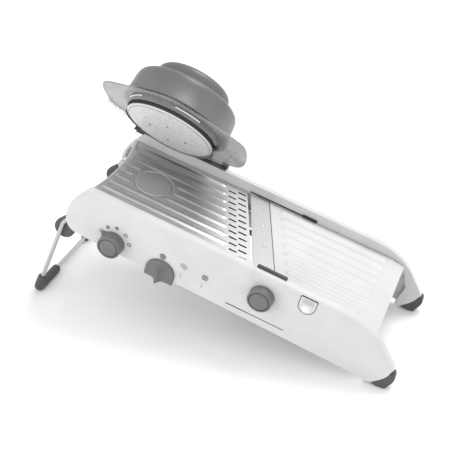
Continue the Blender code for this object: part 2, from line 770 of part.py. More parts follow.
def make_mode_slider(deck):
    """An arch-shaped slide that hooks under the wall, and the wedge that it carries inside."""
    out = WALL_OUT + GAP
    pivot = (SLIDER_U, -out, SLIDER_MID)
    bottom = -53.5
    arch = arc((SLIDER_U, SLIDER_MID), SLIDER_R, 0, 180, 20)
    bm = bmesh.new()
    add_prism(bm, arch + [(SLIDER_U - SLIDER_R, bottom - 2), (SLIDER_U + SLIDER_R, bottom - 2)],
              -out - 2.0, -out, "uw")
    slider = make_piece("mode_slider", bm, GREY, deck, pivot)
    hook = bmesh.new()
    section = [(-out - 1.5, bottom - 2.0), (-58.1, bottom - 2.0), (-58.1, -40.0), (-62.0, -40.0),
               (-62.0, bottom), (-out - 1.5, bottom)]
    add_prism(hook, section, SLIDER_U - 9.0, SLIDER_U + 9.0, "yw")
    fin = [(-out - 1.0, SLIDER_MID - 5.5), (-out - 1.0, SLIDER_MID + 13.0), (-out - 8.0, SLIDER_MID + 12.0),
           (-out - 12.0, SLIDER_MID + 7.0), (-out - 12.0, SLIDER_MID - 3.0), (-out - 9.0, SLIDER_MID - 5.5)]
    add_prism(hook, fin, SLIDER_U - 1.6, SLIDER_U + 1.6, "yw")
    shape_with(slider, hook, "UNION")

    wedge = bmesh.new()
    rest = -36.5
    side_view = [(96.0, -44.0), (FOLLOWER_U + 5.0, -44.0), (FOLLOWER_U + 5.0, rest),
                 (FOLLOWER_U - 1.0, rest), (FOLLOWER_U - WEDGE_TRAVEL + 1.5, rest + COMB_LIFT),
                 (FOLLOWER_U - WEDGE_TRAVEL - 5.0, rest + COMB_LIFT), (120.0, -38.0), (96.0, -38.0)]
    add_prism(wedge, side_view, -57.8, -53.2, "uw")
    make_piece("lift_wedge", wedge, GREY, deck, pivot)


def button_outline(radius):
    """Round at the bottom, straight sides, nearly square top."""
    top = 9.5 + (radius - BUTTON_R)
    points = arc((BUTTON_U, -1.5), radius, 180, 360, 16)
    points += arc((BUTTON_U + radius - 2.0, top - 2.0), 2.0, 0, 90, 3)
    points += arc((BUTTON_U - radius + 2.0, top - 2.0), 2.0, 90, 180, 3)
    return points


def make_release_button(deck):
    bm = bmesh.new()
    add_prism(bm, button_outline(BUTTON_R), -WALL_OUT + 0.2, -69.6, "uw")
    button = make_piece("release_button", bm, GREY, deck, (BUTTON_U, -WALL_OUT, -1.5))
    dome = bmesh.new()
    add_turned(dome, [(0, 0), (7.6, 0), (6.8, 1.0), (4.6, 1.7), (0, 2.0)],
               (BUTTON_U, -WALL_OUT + 0.6, -1.5), (0, -1, 0), 24)
    shape_with(button, dome, "UNION")


# ---- stand ----------------------------------------------------------------------------------------

def stand_path(half):
    """The near half of the stand's wire, from its pivot stub to y = -half on the crossbar."""
    stub = (STAND_PIVOT[0], -57.0, STAND_PIVOT[1])
    elbow = (STAND_PIVOT[0], -LEG_Y, STAND_PIVOT[1])
    knee = (STAND_KNEE[0], -LEG_Y, STAND_KNEE[1])
    corner = (STAND_BAR[0], -LEG_Y, STAND_BAR[1])
    end = (STAND_BAR[0], -half, STAND_BAR[1])
    path = [Vector(stub)] + bend(stub, elbow, knee, 4.0, 4)
    path += bend(elbow, knee, corner, 6.0, 2)
    path += bend(knee, corner, end, 7.0, 5)
    return path


def mirrored(path):
    return [Vector((p[0], -p[1], p[2])) for p in reversed(path)]


def make_stand(deck):
    pivot = (STAND_PIVOT[0], 0.0, STAND_PIVOT[1])
    near = stand_path(10.0)
    wire = bmesh.new()
    add_tube(wire, near + mirrored(near), WIRE_R, 0.0, 10)
    make_piece("stand_wire", wire, STEEL, deck, pivot)

    knee = Vector((STAND_KNEE[0], -LEG_Y, STAND_KNEE[1]))
    corner = Vector((STAND_BAR[0], -LEG_Y, STAND_BAR[1]))
    end = Vector((STAND_BAR[0], 0.0, STAND_BAR[1]))
    up = corner + (knee - corner).normalized() * 18.0
    along = corner + Vector((0.0, 25.0, 0.0))
    path = [up] + bend(knee, corner, end, 7.0, 5) + [along]
    for name, route in (("stand_boot_near", path), ("stand_boot_far", mirrored(path))):
        boot = bmesh.new()
        add_tube(boot, route, BOOT_R, WIRE_R + GAP, 12)
        make_piece(name, boot, RUBBER, deck, pivot)

    for name, side in (("stand_pad_near", -1), ("stand_pad_far", 1)):
        pad = bmesh.new()
        y0, y1 = sorted((side * 56.5, side * (LEG_Y - WIRE_R - GAP)))
        middle = (-17.5, -59.6)
        outline = arc(middle, 12.3, 150, 390, 20) + [(-14.0, -46.0), (-17.0, -44.0), (-20.5, -44.5)]
        add_prism(pad, outline, y0, y1, "uw")
        make_piece(name, pad, RUBBER, deck, pivot)


def make_stand_bushes(deck):
    """The sleeves that the stand's stubs turn in."""
    for name, side in (("stand_bush_near", -1), ("stand_bush_far", 1)):
        bm = bmesh.new()
        start = (STAND_PIVOT[0], side * 57.0, STAND_PIVOT[1])
        profile = [(WIRE_R + GAP, 0), (4.6, 0), (4.6, 6.0), (WIRE_R + GAP, 6.0)]
        add_turned(bm, profile, start, (0, side, 0), 16, True)
        make_piece(name, bm, WHITE, deck)


# ---- guard ----------------------------------------------------------------------------------------

def make_guard_shoe(deck):
    """The dark shoe that slides on the far wall, and the pin that the guard turns on."""
    bm = bmesh.new()
    u0, u1 = SHOE_U
    _, axis_y, axis_w = HINGE
    low = WALL_TOP + GAP
    section = [(WALL_IN, low), (WALL_OUT + GAP, low), (WALL_OUT + GAP, 5.3), (WALL_OUT - 1.2, 5.3),
               (WALL_OUT - 1.2, 3.6), (WALL_OUT + 2.2, 3.6), (WALL_OUT + 2.2, low + 0.9),
               (66.0, low + 0.9), (66.0, low + 1.6), (WALL_IN, low + 1.6)]
    add_prism(bm, section, u0, u1, "yw")
    shoe = make_piece("guard_shoe", bm, GREY, deck, (u0, axis_y, low))
    lugs = bmesh.new()
    for a, b in ((u0, u0 + 6.6), (u1 - 6.6, u1)):
        add_prism(lugs, rounded_box(axis_y - 2.8, axis_y + 2.8, low + 0.2, axis_w + 2.6, 2.0, 4),
                  a, b, "yw")
    shape_with(shoe, lugs, "UNION")
    bore = bmesh.new()
    add_rod(bore, (u0 - 5.0, axis_y, axis_w), (u1 + 5.0, axis_y, axis_w), 1.0, 12)
    shape_with(shoe, bore, "DIFFERENCE")
    pin = bmesh.new()
    add_rod(pin, (u0 + 0.5, axis_y, axis_w), (u1 - 0.5, axis_y, axis_w), 0.7, 12)
    make_piece("hinge_pin", pin, STEEL, deck, HINGE)


def flange_outline():
    """A wide lobe each side of the tube; the wing is cut back on the stand side."""
    points = []
    knots = FLANGE_WING + FLANGE_NEAR
    middles = [((knots[k][0] + knots[k + 1][0]) / 2, (knots[k][1] + knots[k + 1][1]) / 2)
               for k in range(len(knots) - 1)]
    points.append(knots[0])
    for k in range(1, len(knots) - 1):
        points += bezier(middles[k - 1], knots[k], middles[k], 4)
    points.append(knots[-1])
    return [(g, -s) for g, s in points]


def make_guard_flange(guard):
    """Clear flange with the food tube below it and a hinge barrel along its edge."""
    middle = -GUARD_MID
    bm = bmesh.new()
    add_prism(bm, flange_outline(), -1.0, 1.4, "uy")
    flange = make_piece("guard_flange", bm, CLEAR, guard)
    barrel = bmesh.new()
    g0 = SHOE_U[0] + 7.0 - HINGE[0]
    g1 = SHOE_U[1] - 7.0 - HINGE[0]
    add_rod(barrel, (g0, 0, 0), (g1, 0, 0), 1.7, 14)
    web = bmesh.new()
    add_prism(web, box_outline(-44.0, 44.0, -12.0, -0.9), -0.95, 1.2, "uy")
    shape_with(flange, web, "UNION")
    tube = bmesh.new()
    add_turned(tube, [(TUBE_R - 1.6, TUBE_RIM), (TUBE_R, TUBE_RIM), (TUBE_R, 0.5), (TUBE_R - 1.6, 0.5)],
               (0, middle, 0), (0, 0, 1), 64, True)
    shape_with(flange, tube, "UNION")
    hole = bmesh.new()
    add_rod(hole, (0, middle, -30), (0, middle, 30), TUBE_R - 1.6, 64)
    shape_with(flange, hole, "DIFFERENCE")
    low_cut = bmesh.new()
    add_prism(low_cut, box_outline(-70.0, 70.0, middle - 70.0, middle), -30.0, TUBE_RIM_NEAR, "uy")
    shape_with(flange, low_cut, "DIFFERENCE")
    shape_with(flange, barrel, "UNION")
    bore = bmesh.new()
    add_rod(bore, (g0 - 5, 0, 0), (g1 + 5, 0, 0), 1.0, 12)
    shape_with(flange, bore, "DIFFERENCE")
    reliefs = bmesh.new()
    for g in (g0 - 7.5, g1 + 0.1):
        add_prism(reliefs, box_outline(g, g + 7.4, -6.5, 4.0), -4.0, 4.0, "uy")
    shape_with(flange, reliefs, "DIFFERENCE")


def make_guard_cup(guard):
    """The lower tier of the hand grip, a hollow cup fixed on the flange."""
    bm = bmesh.new()
    outer = [(62.5, 1.7), (60.8, 26.0)] + arc((53.0, 26.4), 7.8, 8, 90, 5)
    inner = [(44.4, 34.2), (44.4, 31.8), (52.5, 31.8), (57.8, 26.0), (60.0, 1.7)]
    add_turned(bm, outer + inner, (0, -GUARD_MID, 0), (0, 0, 1), 56, True)
    make_piece("guard_cup", bm, DARK, guard)


def make_plunger(guard):
    """The sliding pusher: disc, prongs, sleeve, stem, upper grip and its cap."""
    middle = (0, -GUARD_MID, 0)
    up = (0, 0, 1)
    disc = bmesh.new()
    back = DISC_FACE + DISC_THICK
    add_turned(disc, [(0, DISC_FACE), (DISC_FACE_R, DISC_FACE), (DISC_R, back - 0.4), (DISC_R, back),
                      (0, back)], middle, up, 56)
    make_piece("pusher_disc", disc, WHITE, guard, middle)
    sleeve = bmesh.new()
    low = back + GAP
    add_turned(sleeve, [(49.8, low), (DISC_R, low), (DISC_R, -0.5), (49.8, -0.5)], middle, up, 56, True)
    make_piece("plunger_sleeve", sleeve, DARK, guard, middle)
    top = DISC_FACE - 0.05
    for number, (g, s) in enumerate(PRONGS, 1):
        prong = bmesh.new()
        tip = DISC_FACE - PRONG_HIGH
        add_turned(prong, [(0, top), (1.5, top), (1.2, top - 0.4), (0.5, tip), (0, tip)],
                   (g, -GUARD_MID - s, 0), up, 12)
        make_piece(f"prong_{number}", prong, STEEL, guard, middle)
    stem = bmesh.new()
    add_turned(stem, [(0, low), (9.0, low), (7.5, low + 3), (7.5, 47.0), (0, 47.0)], middle, up, 20)
    make_piece("plunger_stem", stem, WHITE, guard, middle)
    grip = bmesh.new()
    outer = [(43.8, 14.0), (43.2, 44.0)] + arc((36.2, 44.2), 7.0, 5, 90, 5)
    inner = [(34.0, 51.2), (34.0, 48.8), (40.6, 43.0), (41.2, 14.0)]
    add_turned(grip, outer + inner, middle, up, 48, True)
    make_piece("plunger_grip", grip, DARK, guard, middle)
    cap = bmesh.new()
    add_turned(cap, [(0, 47.3), (33.6, 49.1), (33.7, 51.5), (30.0, 52.6), (0, 53.2)], middle, up, 48)
    make_piece("plunger_cap", cap, WHITE, guard, middle)


# ---- assembly -------------------------------------------------------------------------------------

clear_scene()
DECK = add_empty("deck", None, DECK_START, (0.0, DECK_TILT, 0.0))
GUARD = add_empty("guard_hinge", DECK, Vector(HINGE) * MM, (-GUARD_UP, 0.0, 0.0))
make_near_wall(DECK)
make_far_wall(DECK)
make_chassis(DECK)
make_screws(DECK)
make_feet(DECK)
make_feed_plate(DECK)
make_feed_carrier(DECK)
make_blade(DECK)
make_blade_bed(DECK)
make_ramp(DECK)
make_combs(DECK)
make_julienne_drive(DECK)
make_thickness_drive(DECK)
make_thickness_pointer(DECK)
make_mode_slider(DECK)
make_release_button(DECK)
make_stand(DECK)
make_stand_bushes(DECK)
make_guard_shoe(DECK)
make_guard_flange(GUARD)
make_guard_cup(GUARD)
make_plunger(GUARD)
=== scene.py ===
"""Looks of the adjustable kitchen slicer: finishes, fine surfaces, studio light and camera.

Shapes are laid out on the sloping deck in millimetres: u down its length, y across it (controls on
the -y side), w square to it. The guard has its own frame at its hinge: g along the hinge, s from
the hinge across the guard, t square to its flange.
"""
import math

import bmesh
import bpy
from mathutils import Matrix, Vector


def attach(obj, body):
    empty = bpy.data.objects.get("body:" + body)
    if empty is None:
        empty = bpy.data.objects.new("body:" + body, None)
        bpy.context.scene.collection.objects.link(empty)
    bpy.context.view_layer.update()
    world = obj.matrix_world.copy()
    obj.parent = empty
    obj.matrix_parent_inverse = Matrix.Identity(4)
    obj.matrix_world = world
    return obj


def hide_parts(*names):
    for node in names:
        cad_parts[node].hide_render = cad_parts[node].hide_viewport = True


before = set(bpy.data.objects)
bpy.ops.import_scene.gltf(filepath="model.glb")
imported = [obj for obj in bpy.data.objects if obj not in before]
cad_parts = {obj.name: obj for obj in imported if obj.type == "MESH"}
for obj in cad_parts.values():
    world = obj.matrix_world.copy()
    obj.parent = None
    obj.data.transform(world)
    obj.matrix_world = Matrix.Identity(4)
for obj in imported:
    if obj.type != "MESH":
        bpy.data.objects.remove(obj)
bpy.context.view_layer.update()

MM = 0.001
DECK_TILT = math.radians(15.0)
DECK_START = Vector((-0.13728, -0.00219, 0.1511))
HINGE = Vector((46.9, 69.5, 15.2))
GUARD_UP = math.radians(52.4)
DECK = Matrix.Translation(DECK_START) @ Matrix.Rotation(DECK_TILT, 4, "Y") @ Matrix.Scale(MM, 4)
GUARD = DECK @ Matrix.Translation(HINGE) @ Matrix.Rotation(-GUARD_UP, 4, "X")

WALL_OUT = 74.0
CONTROL_BASE = -WALL_OUT - 0.3
PRINT_FACE = -WALL_OUT - 0.12
PRINT_BACK = -WALL_OUT + 0.1
PLATE_HALF = 62.7
RIB_PITCH = 13.4
RIB_ROWS = [1.2 + RIB_PITCH * k for k in range(-4, 5)]
PLATE_RIB = (3.7, 0.85, 3.0)     # half width, height, run of the shoulder
RAMP_RIB = (5.3, 1.4, 4.2)
PLATE_EDGE = (142.3, 0.434)
BLADE_FRONT = (146.6, 0.405)
BLADE_BACK = (170.1, 0.4253)
RAMP_START = (171.0, 0.4253)
RAMP_NEAR = -62.55
RAMP_FAR = 62.2
RAMP_END = 340.0
MEDALLION = (50.3, 1.2)
RING_R = 21.5
RING_DEPTH = 0.7
RIB_STOP_R = 28.0
COMBS = ((123.8, 49.1, 0.411, 9.6), (134.2, 53.8, 0.401, 10.0))
SLOT_COUNT = 12
SLOT_PITCH = 9.4
SLOT_HALF = 1.2
RIVETS = ((172.4, 44.2), (180.7, 13.5), (193.6, -16.7), (210.0, -44.9))
JULIENNE_KNOB = (45.5, -37.5)
THICKNESS_KNOB = (217.3, -14.5)
KNOB_R = 13.7
SLIDER = (104.8, -46.5)
SLIDER_R = 17.2
SLIDER_FOOT = -55.4
BUTTON_U = 264.0
JULIENNE_MARKS = ((29.5, -29.6), (35.8, -21.1), (46.1, -17.1), (57.4, -21.1), (63.8, -30.8))
SLICE_MARK = (103.3, -24.8)
STRIP_MARK = (128.6, -24.7)
DICE_MARK = (153.9, -26.2)
STOP_TICKS = (127.8, 153.0)
WIRE_R = 2.4
STAND_STUB = Vector((-12.5, -57.0, -38.5))
STAND_ELBOW = Vector((-12.5, -68.8, -38.5))
STAND_KNEE = Vector((-18.1, -68.8, -49.0))
STAND_CORNER = Vector((-33.6, -68.8, -160.2))
STAND_MIDDLE = Vector((-33.6, 0.0, -160.2))
CORNER_BEND = 7.0
BOOT_R = 5.2
GUARD_MID = 69.5
TUBE_R = 54.5
TUBE_RIM = -13.5
TUBE_RIM_NEAR = -7.6
DISC_FACE = -13.4
DISC_FACE_R = 49.6
DISC_R = 52.1
PRONGS = ((-24.2, -4.8), (-0.7, 12.8), (-4.1, -27.7), (19.5, -11.8))
FLANGE = ((-50.0, 9.4), (-62.0, 26.0), (-72.0, 32.0), (-81.0, 34.0), (-85.5, 46.0), (-90.0, 92.0),
          (-66.0, 106.0), (-34.0, 121.0), (0.0, 134.0), (34.0, 121.0), (66.0, 101.0), (88.0, 88.0),
          (88.0, 46.0), (82.0, 20.0), (70.0, 8.5), (56.0, 9.4))
CAMERA_PLACE = Vector((0.30922, -0.79979, 0.6782))
CAMERA_AZIMUTH = math.radians(21.34)
CAMERA_ELEVATION = math.radians(33.76)
CAMERA_ROLL = math.radians(0.75)
LENS = 74.33


# ---- finishes -------------------------------------------------------------------------------------

def linear(code):
    """An sRGB hex colour as linear RGBA."""
    values = [int(code[i:i + 2], 16) / 255 for i in (1, 3, 5)]
    return [v / 12.92 if v <= 0.04045 else ((v + 0.055) / 1.055) ** 2.4 for v in values] + [1.0]


def add_node(tree, kind, inputs=None, **settings):
    """Adds one node with its settings; an input is a value, or a socket to link."""
    made = tree.nodes.new(kind)
    for key, value in settings.items():
        setattr(made, key, value)
    for key, value in (inputs or {}).items():
        if isinstance(value, bpy.types.NodeSocket):
            tree.links.new(value, made.inputs[key])
        else:
            made.inputs[key].default_value = value
    return made


def new_finish(name, **fixed):
    """A material with its shader's constants set, and the place on the piece to draw on."""
    material = bpy.data.materials.new(name)
    material.use_nodes = True
    tree = material.node_tree
    shader = tree.nodes["Principled BSDF"]
    for key, value in fixed.items():
        shader.inputs[key.replace("_", " ")].default_value = value
    place = add_node(tree, "ShaderNodeTexCoord")
    return material, tree, shader, place.outputs["Object"]


def two_tones(tree, where, size_mm, dark, light, detail=3.0, low=0.35, high=0.65):
    """Patches of two close tones, size_mm across."""
    noise = add_node(tree, "ShaderNodeTexNoise", {"Vector": where, "Scale": 1000.0 / size_mm,
                                                  "Detail": detail})
    ramp = add_node(tree, "ShaderNodeValToRGB", {"Fac": noise.outputs["Fac"]})
    ramp.color_ramp.elements[0].position = low
    ramp.color_ramp.elements[0].color = linear(dark)
    ramp.color_ramp.elements[1].position = high
    ramp.color_ramp.elements[1].color = linear(light)
    return ramp.outputs["Color"]


def grain(tree, where, size_mm, height_mm, strength=0.5):
    """Fine relief from the mould or the tool."""
    noise = add_node(tree, "ShaderNodeTexNoise", {"Vector": where, "Scale": 1000.0 / size_mm,
                                                  "Detail": 2.0})
    bump = add_node(tree, "ShaderNodeBump", {"Height": noise.outputs["Fac"],
                                             "Distance": height_mm * MM, "Strength": strength})
    return bump.outputs["Normal"]


def rough_range(tree, where, size_mm, low, high):
    """Roughness that wanders between two values, so that a highlight isn't even."""
    noise = add_node(tree, "ShaderNodeTexNoise", {"Vector": where, "Scale": 1000.0 / size_mm,
                                                  "Detail": 2.0})
    spread = add_node(tree, "ShaderNodeMapRange", {"Value": noise.outputs["Fac"], "To Min": low,
                                                   "To Max": high})
    return spread.outputs["Result"]


def moulded(name, dark, light, low, high, grain_mm=0.9, height_mm=0.02, ior=1.53):
    """Injection-moulded plastic: close tones, and a fine grain from the mould."""
    material, tree, shader, where = new_finish(name, IOR=ior)
    tree.links.new(two_tones(tree, where, 38.0, dark, light), shader.inputs["Base Color"])
    tree.links.new(rough_range(tree, where, 14.0, low, high), shader.inputs["Roughness"])
    tree.links.new(grain(tree, where, grain_mm, height_mm), shader.inputs["Normal"])
    return material


def brushed(name, dark, light, low, high, line_mm=0.5, length_mm=26.0):
    """Brushed stainless steel: long fine scratches down the deck."""
    material, tree, shader, where = new_finish(name, Metallic=1.0)
    turned = add_node(tree, "ShaderNodeMapping", {"Vector": where, "Rotation": (0.0, -DECK_TILT, 0.0),
                                                  "Scale": (1.0 / length_mm, 1.0 / line_mm, 1.0 / line_mm)})
    lines = add_node(tree, "ShaderNodeTexNoise", {"Vector": turned.outputs["Vector"], "Scale": 1000.0,
                                                  "Detail": 3.0})
    ramp = add_node(tree, "ShaderNodeValToRGB", {"Fac": lines.outputs["Fac"]})
    ramp.color_ramp.elements[0].position = 0.3
    ramp.color_ramp.elements[0].color = linear(dark)
    ramp.color_ramp.elements[1].position = 0.7
    ramp.color_ramp.elements[1].color = linear(light)
    tree.links.new(ramp.outputs["Color"], shader.inputs["Base Color"])
    spread = add_node(tree, "ShaderNodeMapRange", {"Value": lines.outputs["Fac"], "To Min": low,
                                                   "To Max": high})
    tree.links.new(spread.outputs["Result"], shader.inputs["Roughness"])
    bump = add_node(tree, "ShaderNodeBump", {"Height": lines.outputs["Fac"], "Distance": 0.01 * MM,
                                             "Strength": 0.35})
    tree.links.new(bump.outputs["Normal"], shader.inputs["Normal"])
    return material


def clear_moulding(name, dark, light, thin, thick):
    """Smoked clear plastic: see-through face on, denser towards its edges."""
    material, tree, shader, where = new_finish(name, IOR=1.49)
    tree.links.new(two_tones(tree, where, 20.0, dark, light), shader.inputs["Base Color"])
    tree.links.new(rough_range(tree, where, 10.0, 0.08, 0.2), shader.inputs["Roughness"])
    tree.links.new(grain(tree, where, 3.0, 0.05), shader.inputs["Normal"])
    facing = add_node(tree, "ShaderNodeLayerWeight", {"Blend": 0.35})
    spread = add_node(tree, "ShaderNodeMapRange", {"Value": facing.outputs["Facing"], "To Min": thin,
                                                   "To Max": thick})
    tree.links.new(spread.outputs["Result"], shader.inputs["Alpha"])
    return material


def speckled(name):
    """Glossy moulded disc with a hammered, speckled face."""
    material, tree, shader, where = new_finish(name, IOR=1.5)
    tree.links.new(two_tones(tree, where, 3.4, "#c2c2c2", "#dadada", 4.0, 0.36, 0.62),
                   shader.inputs["Base Color"])
    tree.links.new(rough_range(tree, where, 3.0, 0.25, 0.5), shader.inputs["Roughness"])
    tree.links.new(grain(tree, where, 3.4, 0.3, 0.6), shader.inputs["Normal"])
    return material


# Moulded ABS, even and satin, with soft wide highlights; the inside parts are duller, and painted a darker
# tone as shade.
WHITE_ABS = moulded("white_abs", "#c9c9c8", "#cfcfce", 0.34, 0.46)
WHITE_ABS_PAINTED_SHADE = moulded("white_abs_inside_painted_shade", "#c0c0bf", "#c8c8c7", 0.4, 0.55)
# Textured grey and black ABS: the grain breaks the highlight on knobs and on the black strips.
GREY_ABS = moulded("grey_abs_knob", "#646464", "#6d6d6d", 0.38, 0.5, 0.7, 0.05)
DARK_ABS = moulded("dark_abs", "#343435", "#3d3d3e", 0.4, 0.55)
# Black ABS, also used as painted shade: slot linings, gaps by the blade, knob grooves, the pusher sleeve.
BLACK_ABS_AND_PAINTED_SHADE = moulded("black_abs_shadow_gap", "#232323", "#2c2c2c", 0.5, 0.65)
# Satin ABS of the hand grip, and its smooth, brighter cap; the brighter plastic also paints the highlight
# on the release button's dome.
CUP_ABS = moulded("satin_cup_abs", "#5f5f5f", "#686868", 0.3, 0.4, 0.6, 0.02)
CAP_ABS_AND_HIGHLIGHT = moulded("white_cap_abs_and_highlight", "#dddddd", "#e6e6e6", 0.3, 0.4)
# Natural rubber from the mould: matt, with hardly any highlight.
RUBBER = moulded("moulded_rubber", "#474749", "#525254", 0.6, 0.8, 0.8, 0.08, 1.52)
# Pad-printed ink: a thin, even film.
PRINT = moulded("grey_pad_print", "#6f6f6f", "#7a7a7a", 0.45, 0.6)
PALE_PRINT = moulded("pale_pad_print", "#a2a2a2", "#aaaaaa", 0.45, 0.6)
# Stainless steel: brushed it smears reflections along the deck, ground it is flatter, drawn brighter.
STEEL = brushed("brushed_feed_steel", "#bebebe", "#cecece", 0.33, 0.43)
BLADE_STEEL = brushed("ground_blade_steel", "#b0b0b0", "#bababa", 0.42, 0.52)
WIRE_STEEL = brushed("drawn_wire_steel", "#b4b4b5", "#c6c6c7", 0.2, 0.34, 0.4, 8.0)
# Clear moulded acrylic: glassy, and darker wherever the wall is seen edge on.
CLEAR = clear_moulding("smoked_clear", "#969696", "#a6a6a6", 0.4, 0.9)
# The same clear acrylic, darker and denser, painted as the shade inside the tube's far half.
CLEAR_PAINTED_SHADE = clear_moulding("clear_painted_shade", "#6c6c6c", "#7a7a7a", 0.75, 1.0)
TUBE_CLEAR = clear_moulding("clear_tube", "#b4b4b4", "#c8c8c8", 0.2, 0.85)
SPECKLED = speckled("hammered_disc")


# ---- mesh tools -----------------------------------------------------------------------------------

def arc(middle, radius, start, end, steps):
    """Points of an arc, both ends included; angles in degrees."""
    points = []
    for i in range(steps + 1):
        angle = math.radians(start + (end - start) * i / steps)
        points.append((middle[0] + radius * math.cos(angle), middle[1] + radius * math.sin(angle)))
    return points


def rounded_box(a0, a1, b0, b1, radius, steps=8):
    """Outline of a rectangle with round corners."""
    return (arc((a1 - radius, b1 - radius), radius, 0, 90, steps)
            + arc((a0 + radius, b1 - radius), radius, 90, 180, steps)
            + arc((a0 + radius, b0 + radius), radius, 180, 270, steps)
            + arc((a1 - radius, b0 + radius), radius, 270, 360, steps))


def oblique(edge, y):
    """Where an edge that runs askew crosses y; edge is its far end and its slope."""
    return edge[0] + (PLATE_HALF - y) * edge[1]


def smooth(t):
    """Eases from 0 to 1."""
    t = max(0.0, min(1.0, t))
    return t * t * (3.0 - 2.0 * t)


AXES = {"uy": (0, 1, 2), "uw": (0, 2, 1), "yw": (1, 2, 0)}


def close_rings(bm, rings):
    """Skins a stack of rings and closes both ends."""
    count = len(rings[0])
    for lower, upper in zip(rings, rings[1:]):
        for i in range(count):
            j = (i + 1) % count
            bm.faces.new((lower[i], lower[j], upper[j], upper[i]))
    bm.faces.new(rings[0])
    bm.faces.new(rings[-1])


def add_loft(bm, layers, plane="uy"):
    """Layers are (outline, level) pairs with the same number of points."""
    a, b, c = AXES[plane]
    rings = []
    for outline, level in layers:
        ring = []
        for point in outline:
            place = [0.0, 0.0, 0.0]
            place[a] = point[0]
            place[b] = point[1]
            place[c] = level
            ring.append(bm.verts.new(place))
        rings.append(ring)
    close_rings(bm, rings)


def shrunk(outline, depth):
    """An outline moved inwards by depth."""
    count = len(outline)
    area = sum(outline[i - 1][0] * outline[i][1] - outline[i][0] * outline[i - 1][1]
               for i in range(count))
    turn = 1.0 if area > 0 else -1.0
    moved = []
    for i, (a, b) in enumerate(outline):
        before = outline[i - 1]
        after = outline[(i + 1) % count]
        run = Vector((after[0] - before[0], after[1] - before[1]))
        if run.length < 1e-9:
            moved.append((a, b))
            continue
        run.normalize()
        moved.append((a - run.y * depth * turn, b + run.x * depth * turn))
    return moved


def add_soft_prism(bm, outline, low, high, plane="uy", edge=0.6, steps=3):
    """A prism with its rims rounded by edge."""
    layers = []
    for i in range(steps + 1):
        angle = math.radians(90.0 * i / steps)
        layers.append((shrunk(outline, edge * (1 - math.sin(angle))), low + edge * (1 - math.cos(angle))))
    for i in range(steps + 1):
        angle = math.radians(90.0 * (1 - i / steps))
        layers.append((shrunk(outline, edge * (1 - math.sin(angle))), high - edge * (1 - math.cos(angle))))
    add_loft(bm, layers, plane)


def add_turned(bm, profile, middle, along, steps=72, closed=False):
    """Turns (radius, height) points round an axis through middle."""
    axis = Vector(along).normalized()
    side = axis.orthogonal().normalized()
    other = axis.cross(side)
    rings = []
    for radius, height in profile:
        base = Vector(middle) + axis * height
        if radius == 0:
            rings.append([bm.verts.new(base)])
            continue
        rings.append([bm.verts.new(base + (side * math.cos(a) + other * math.sin(a)) * radius)
                      for a in (2 * math.pi * i / steps for i in range(steps))])
    if closed:
        rings.append(rings[0])
    for lower, upper in zip(rings, rings[1:]):
        for i in range(steps):
            j = (i + 1) % steps
            if len(lower) == 1:
                bm.faces.new((lower[0], upper[j], upper[i]))
            elif len(upper) == 1:
                bm.faces.new((lower[i], lower[j], upper[0]))
            else:
                bm.faces.new((lower[i], lower[j], upper[j], upper[i]))


def add_tube(bm, path, radius, steps=20):
    """A round bar swept along a path; radius is a number or one for each point."""
    points = [Vector(p) for p in path]
    sizes = radius if isinstance(radius, list) else [radius] * len(points)
    normal = (points[1] - points[0]).orthogonal().normalized()
    rings = []
    for i, point in enumerate(points):
        tangent = (points[min(i + 1, len(points) - 1)] - points[max(i - 1, 0)]).normalized()
        normal = (normal - tangent * normal.dot(tangent)).normalized()
        side = tangent.cross(normal)
        rings.append([bm.verts.new(point + (normal * math.cos(a) + side * math.sin(a)) * sizes[i])
                      for a in (2 * math.pi * k / steps for k in range(steps))])
    close_rings(bm, rings)


def add_sleeve(bm, outer, inner, low, high):
    """A thin upright ring between two outlines."""
    rings = [[bm.verts.new((a, b, level)) for a, b in outline]
             for outline, level in ((outer, low), (outer, high), (inner, high), (inner, low))]
    count = len(outer)
    for lower, upper in zip(rings, rings[1:] + rings[:1]):
        for i in range(count):
            j = (i + 1) % count
            bm.faces.new((lower[i], lower[j], upper[j], upper[i]))


def add_sleeve_uw(bm, outer, inner, low, high):
    """The same ring, standing out from a side wall."""
    start = len(bm.verts)
    add_sleeve(bm, outer, inner, low, high)
    bm.verts.ensure_lookup_table()
    for vert in bm.verts[start:]:
        vert.co = (vert.co.x, vert.co.z, vert.co.y)


def bend(before, corner, after, radius, steps=8):
    """Points of a round bend at a corner between two straight runs."""
    corner = Vector(corner)
    back = (Vector(before) - corner).normalized()
    ahead = (Vector(after) - corner).normalized()
    half = back.angle(ahead) / 2
    middle = corner + (back + ahead).normalized() * radius / math.sin(half)
    first = corner + back * radius / math.tan(half) - middle
    last = corner + ahead * radius / math.tan(half) - middle
    turn = first.angle(last)
    axis = first.cross(last).normalized()
    return [middle + Matrix.Rotation(turn * k / steps, 3, axis) @ first for k in range(steps + 1)]


def add_slab(bm, top, bottom):
    """A closed slab between two grids of points."""
    grids = [[[bm.verts.new(p) for p in row] for row in grid] for grid in (top, bottom)]
    rows = len(top)
    columns = len(top[0])
    for grid in grids:
        for i in range(rows - 1):
            for j in range(columns - 1):
                bm.faces.new((grid[i][j], grid[i + 1][j], grid[i + 1][j + 1], grid[i][j + 1]))
    rim = ([(0, j) for j in range(columns)] + [(i, columns - 1) for i in range(1, rows)]
           + [(rows - 1, j) for j in range(columns - 2, -1, -1)] + [(i, 0) for i in range(rows - 2, 0, -1)])
    for (i0, j0), (i1, j1) in zip(rim, rim[1:] + rim[:1]):
        bm.faces.new((grids[0][i0][j0], grids[0][i1][j1], grids[1][i1][j1], grids[1][i0][j0]))


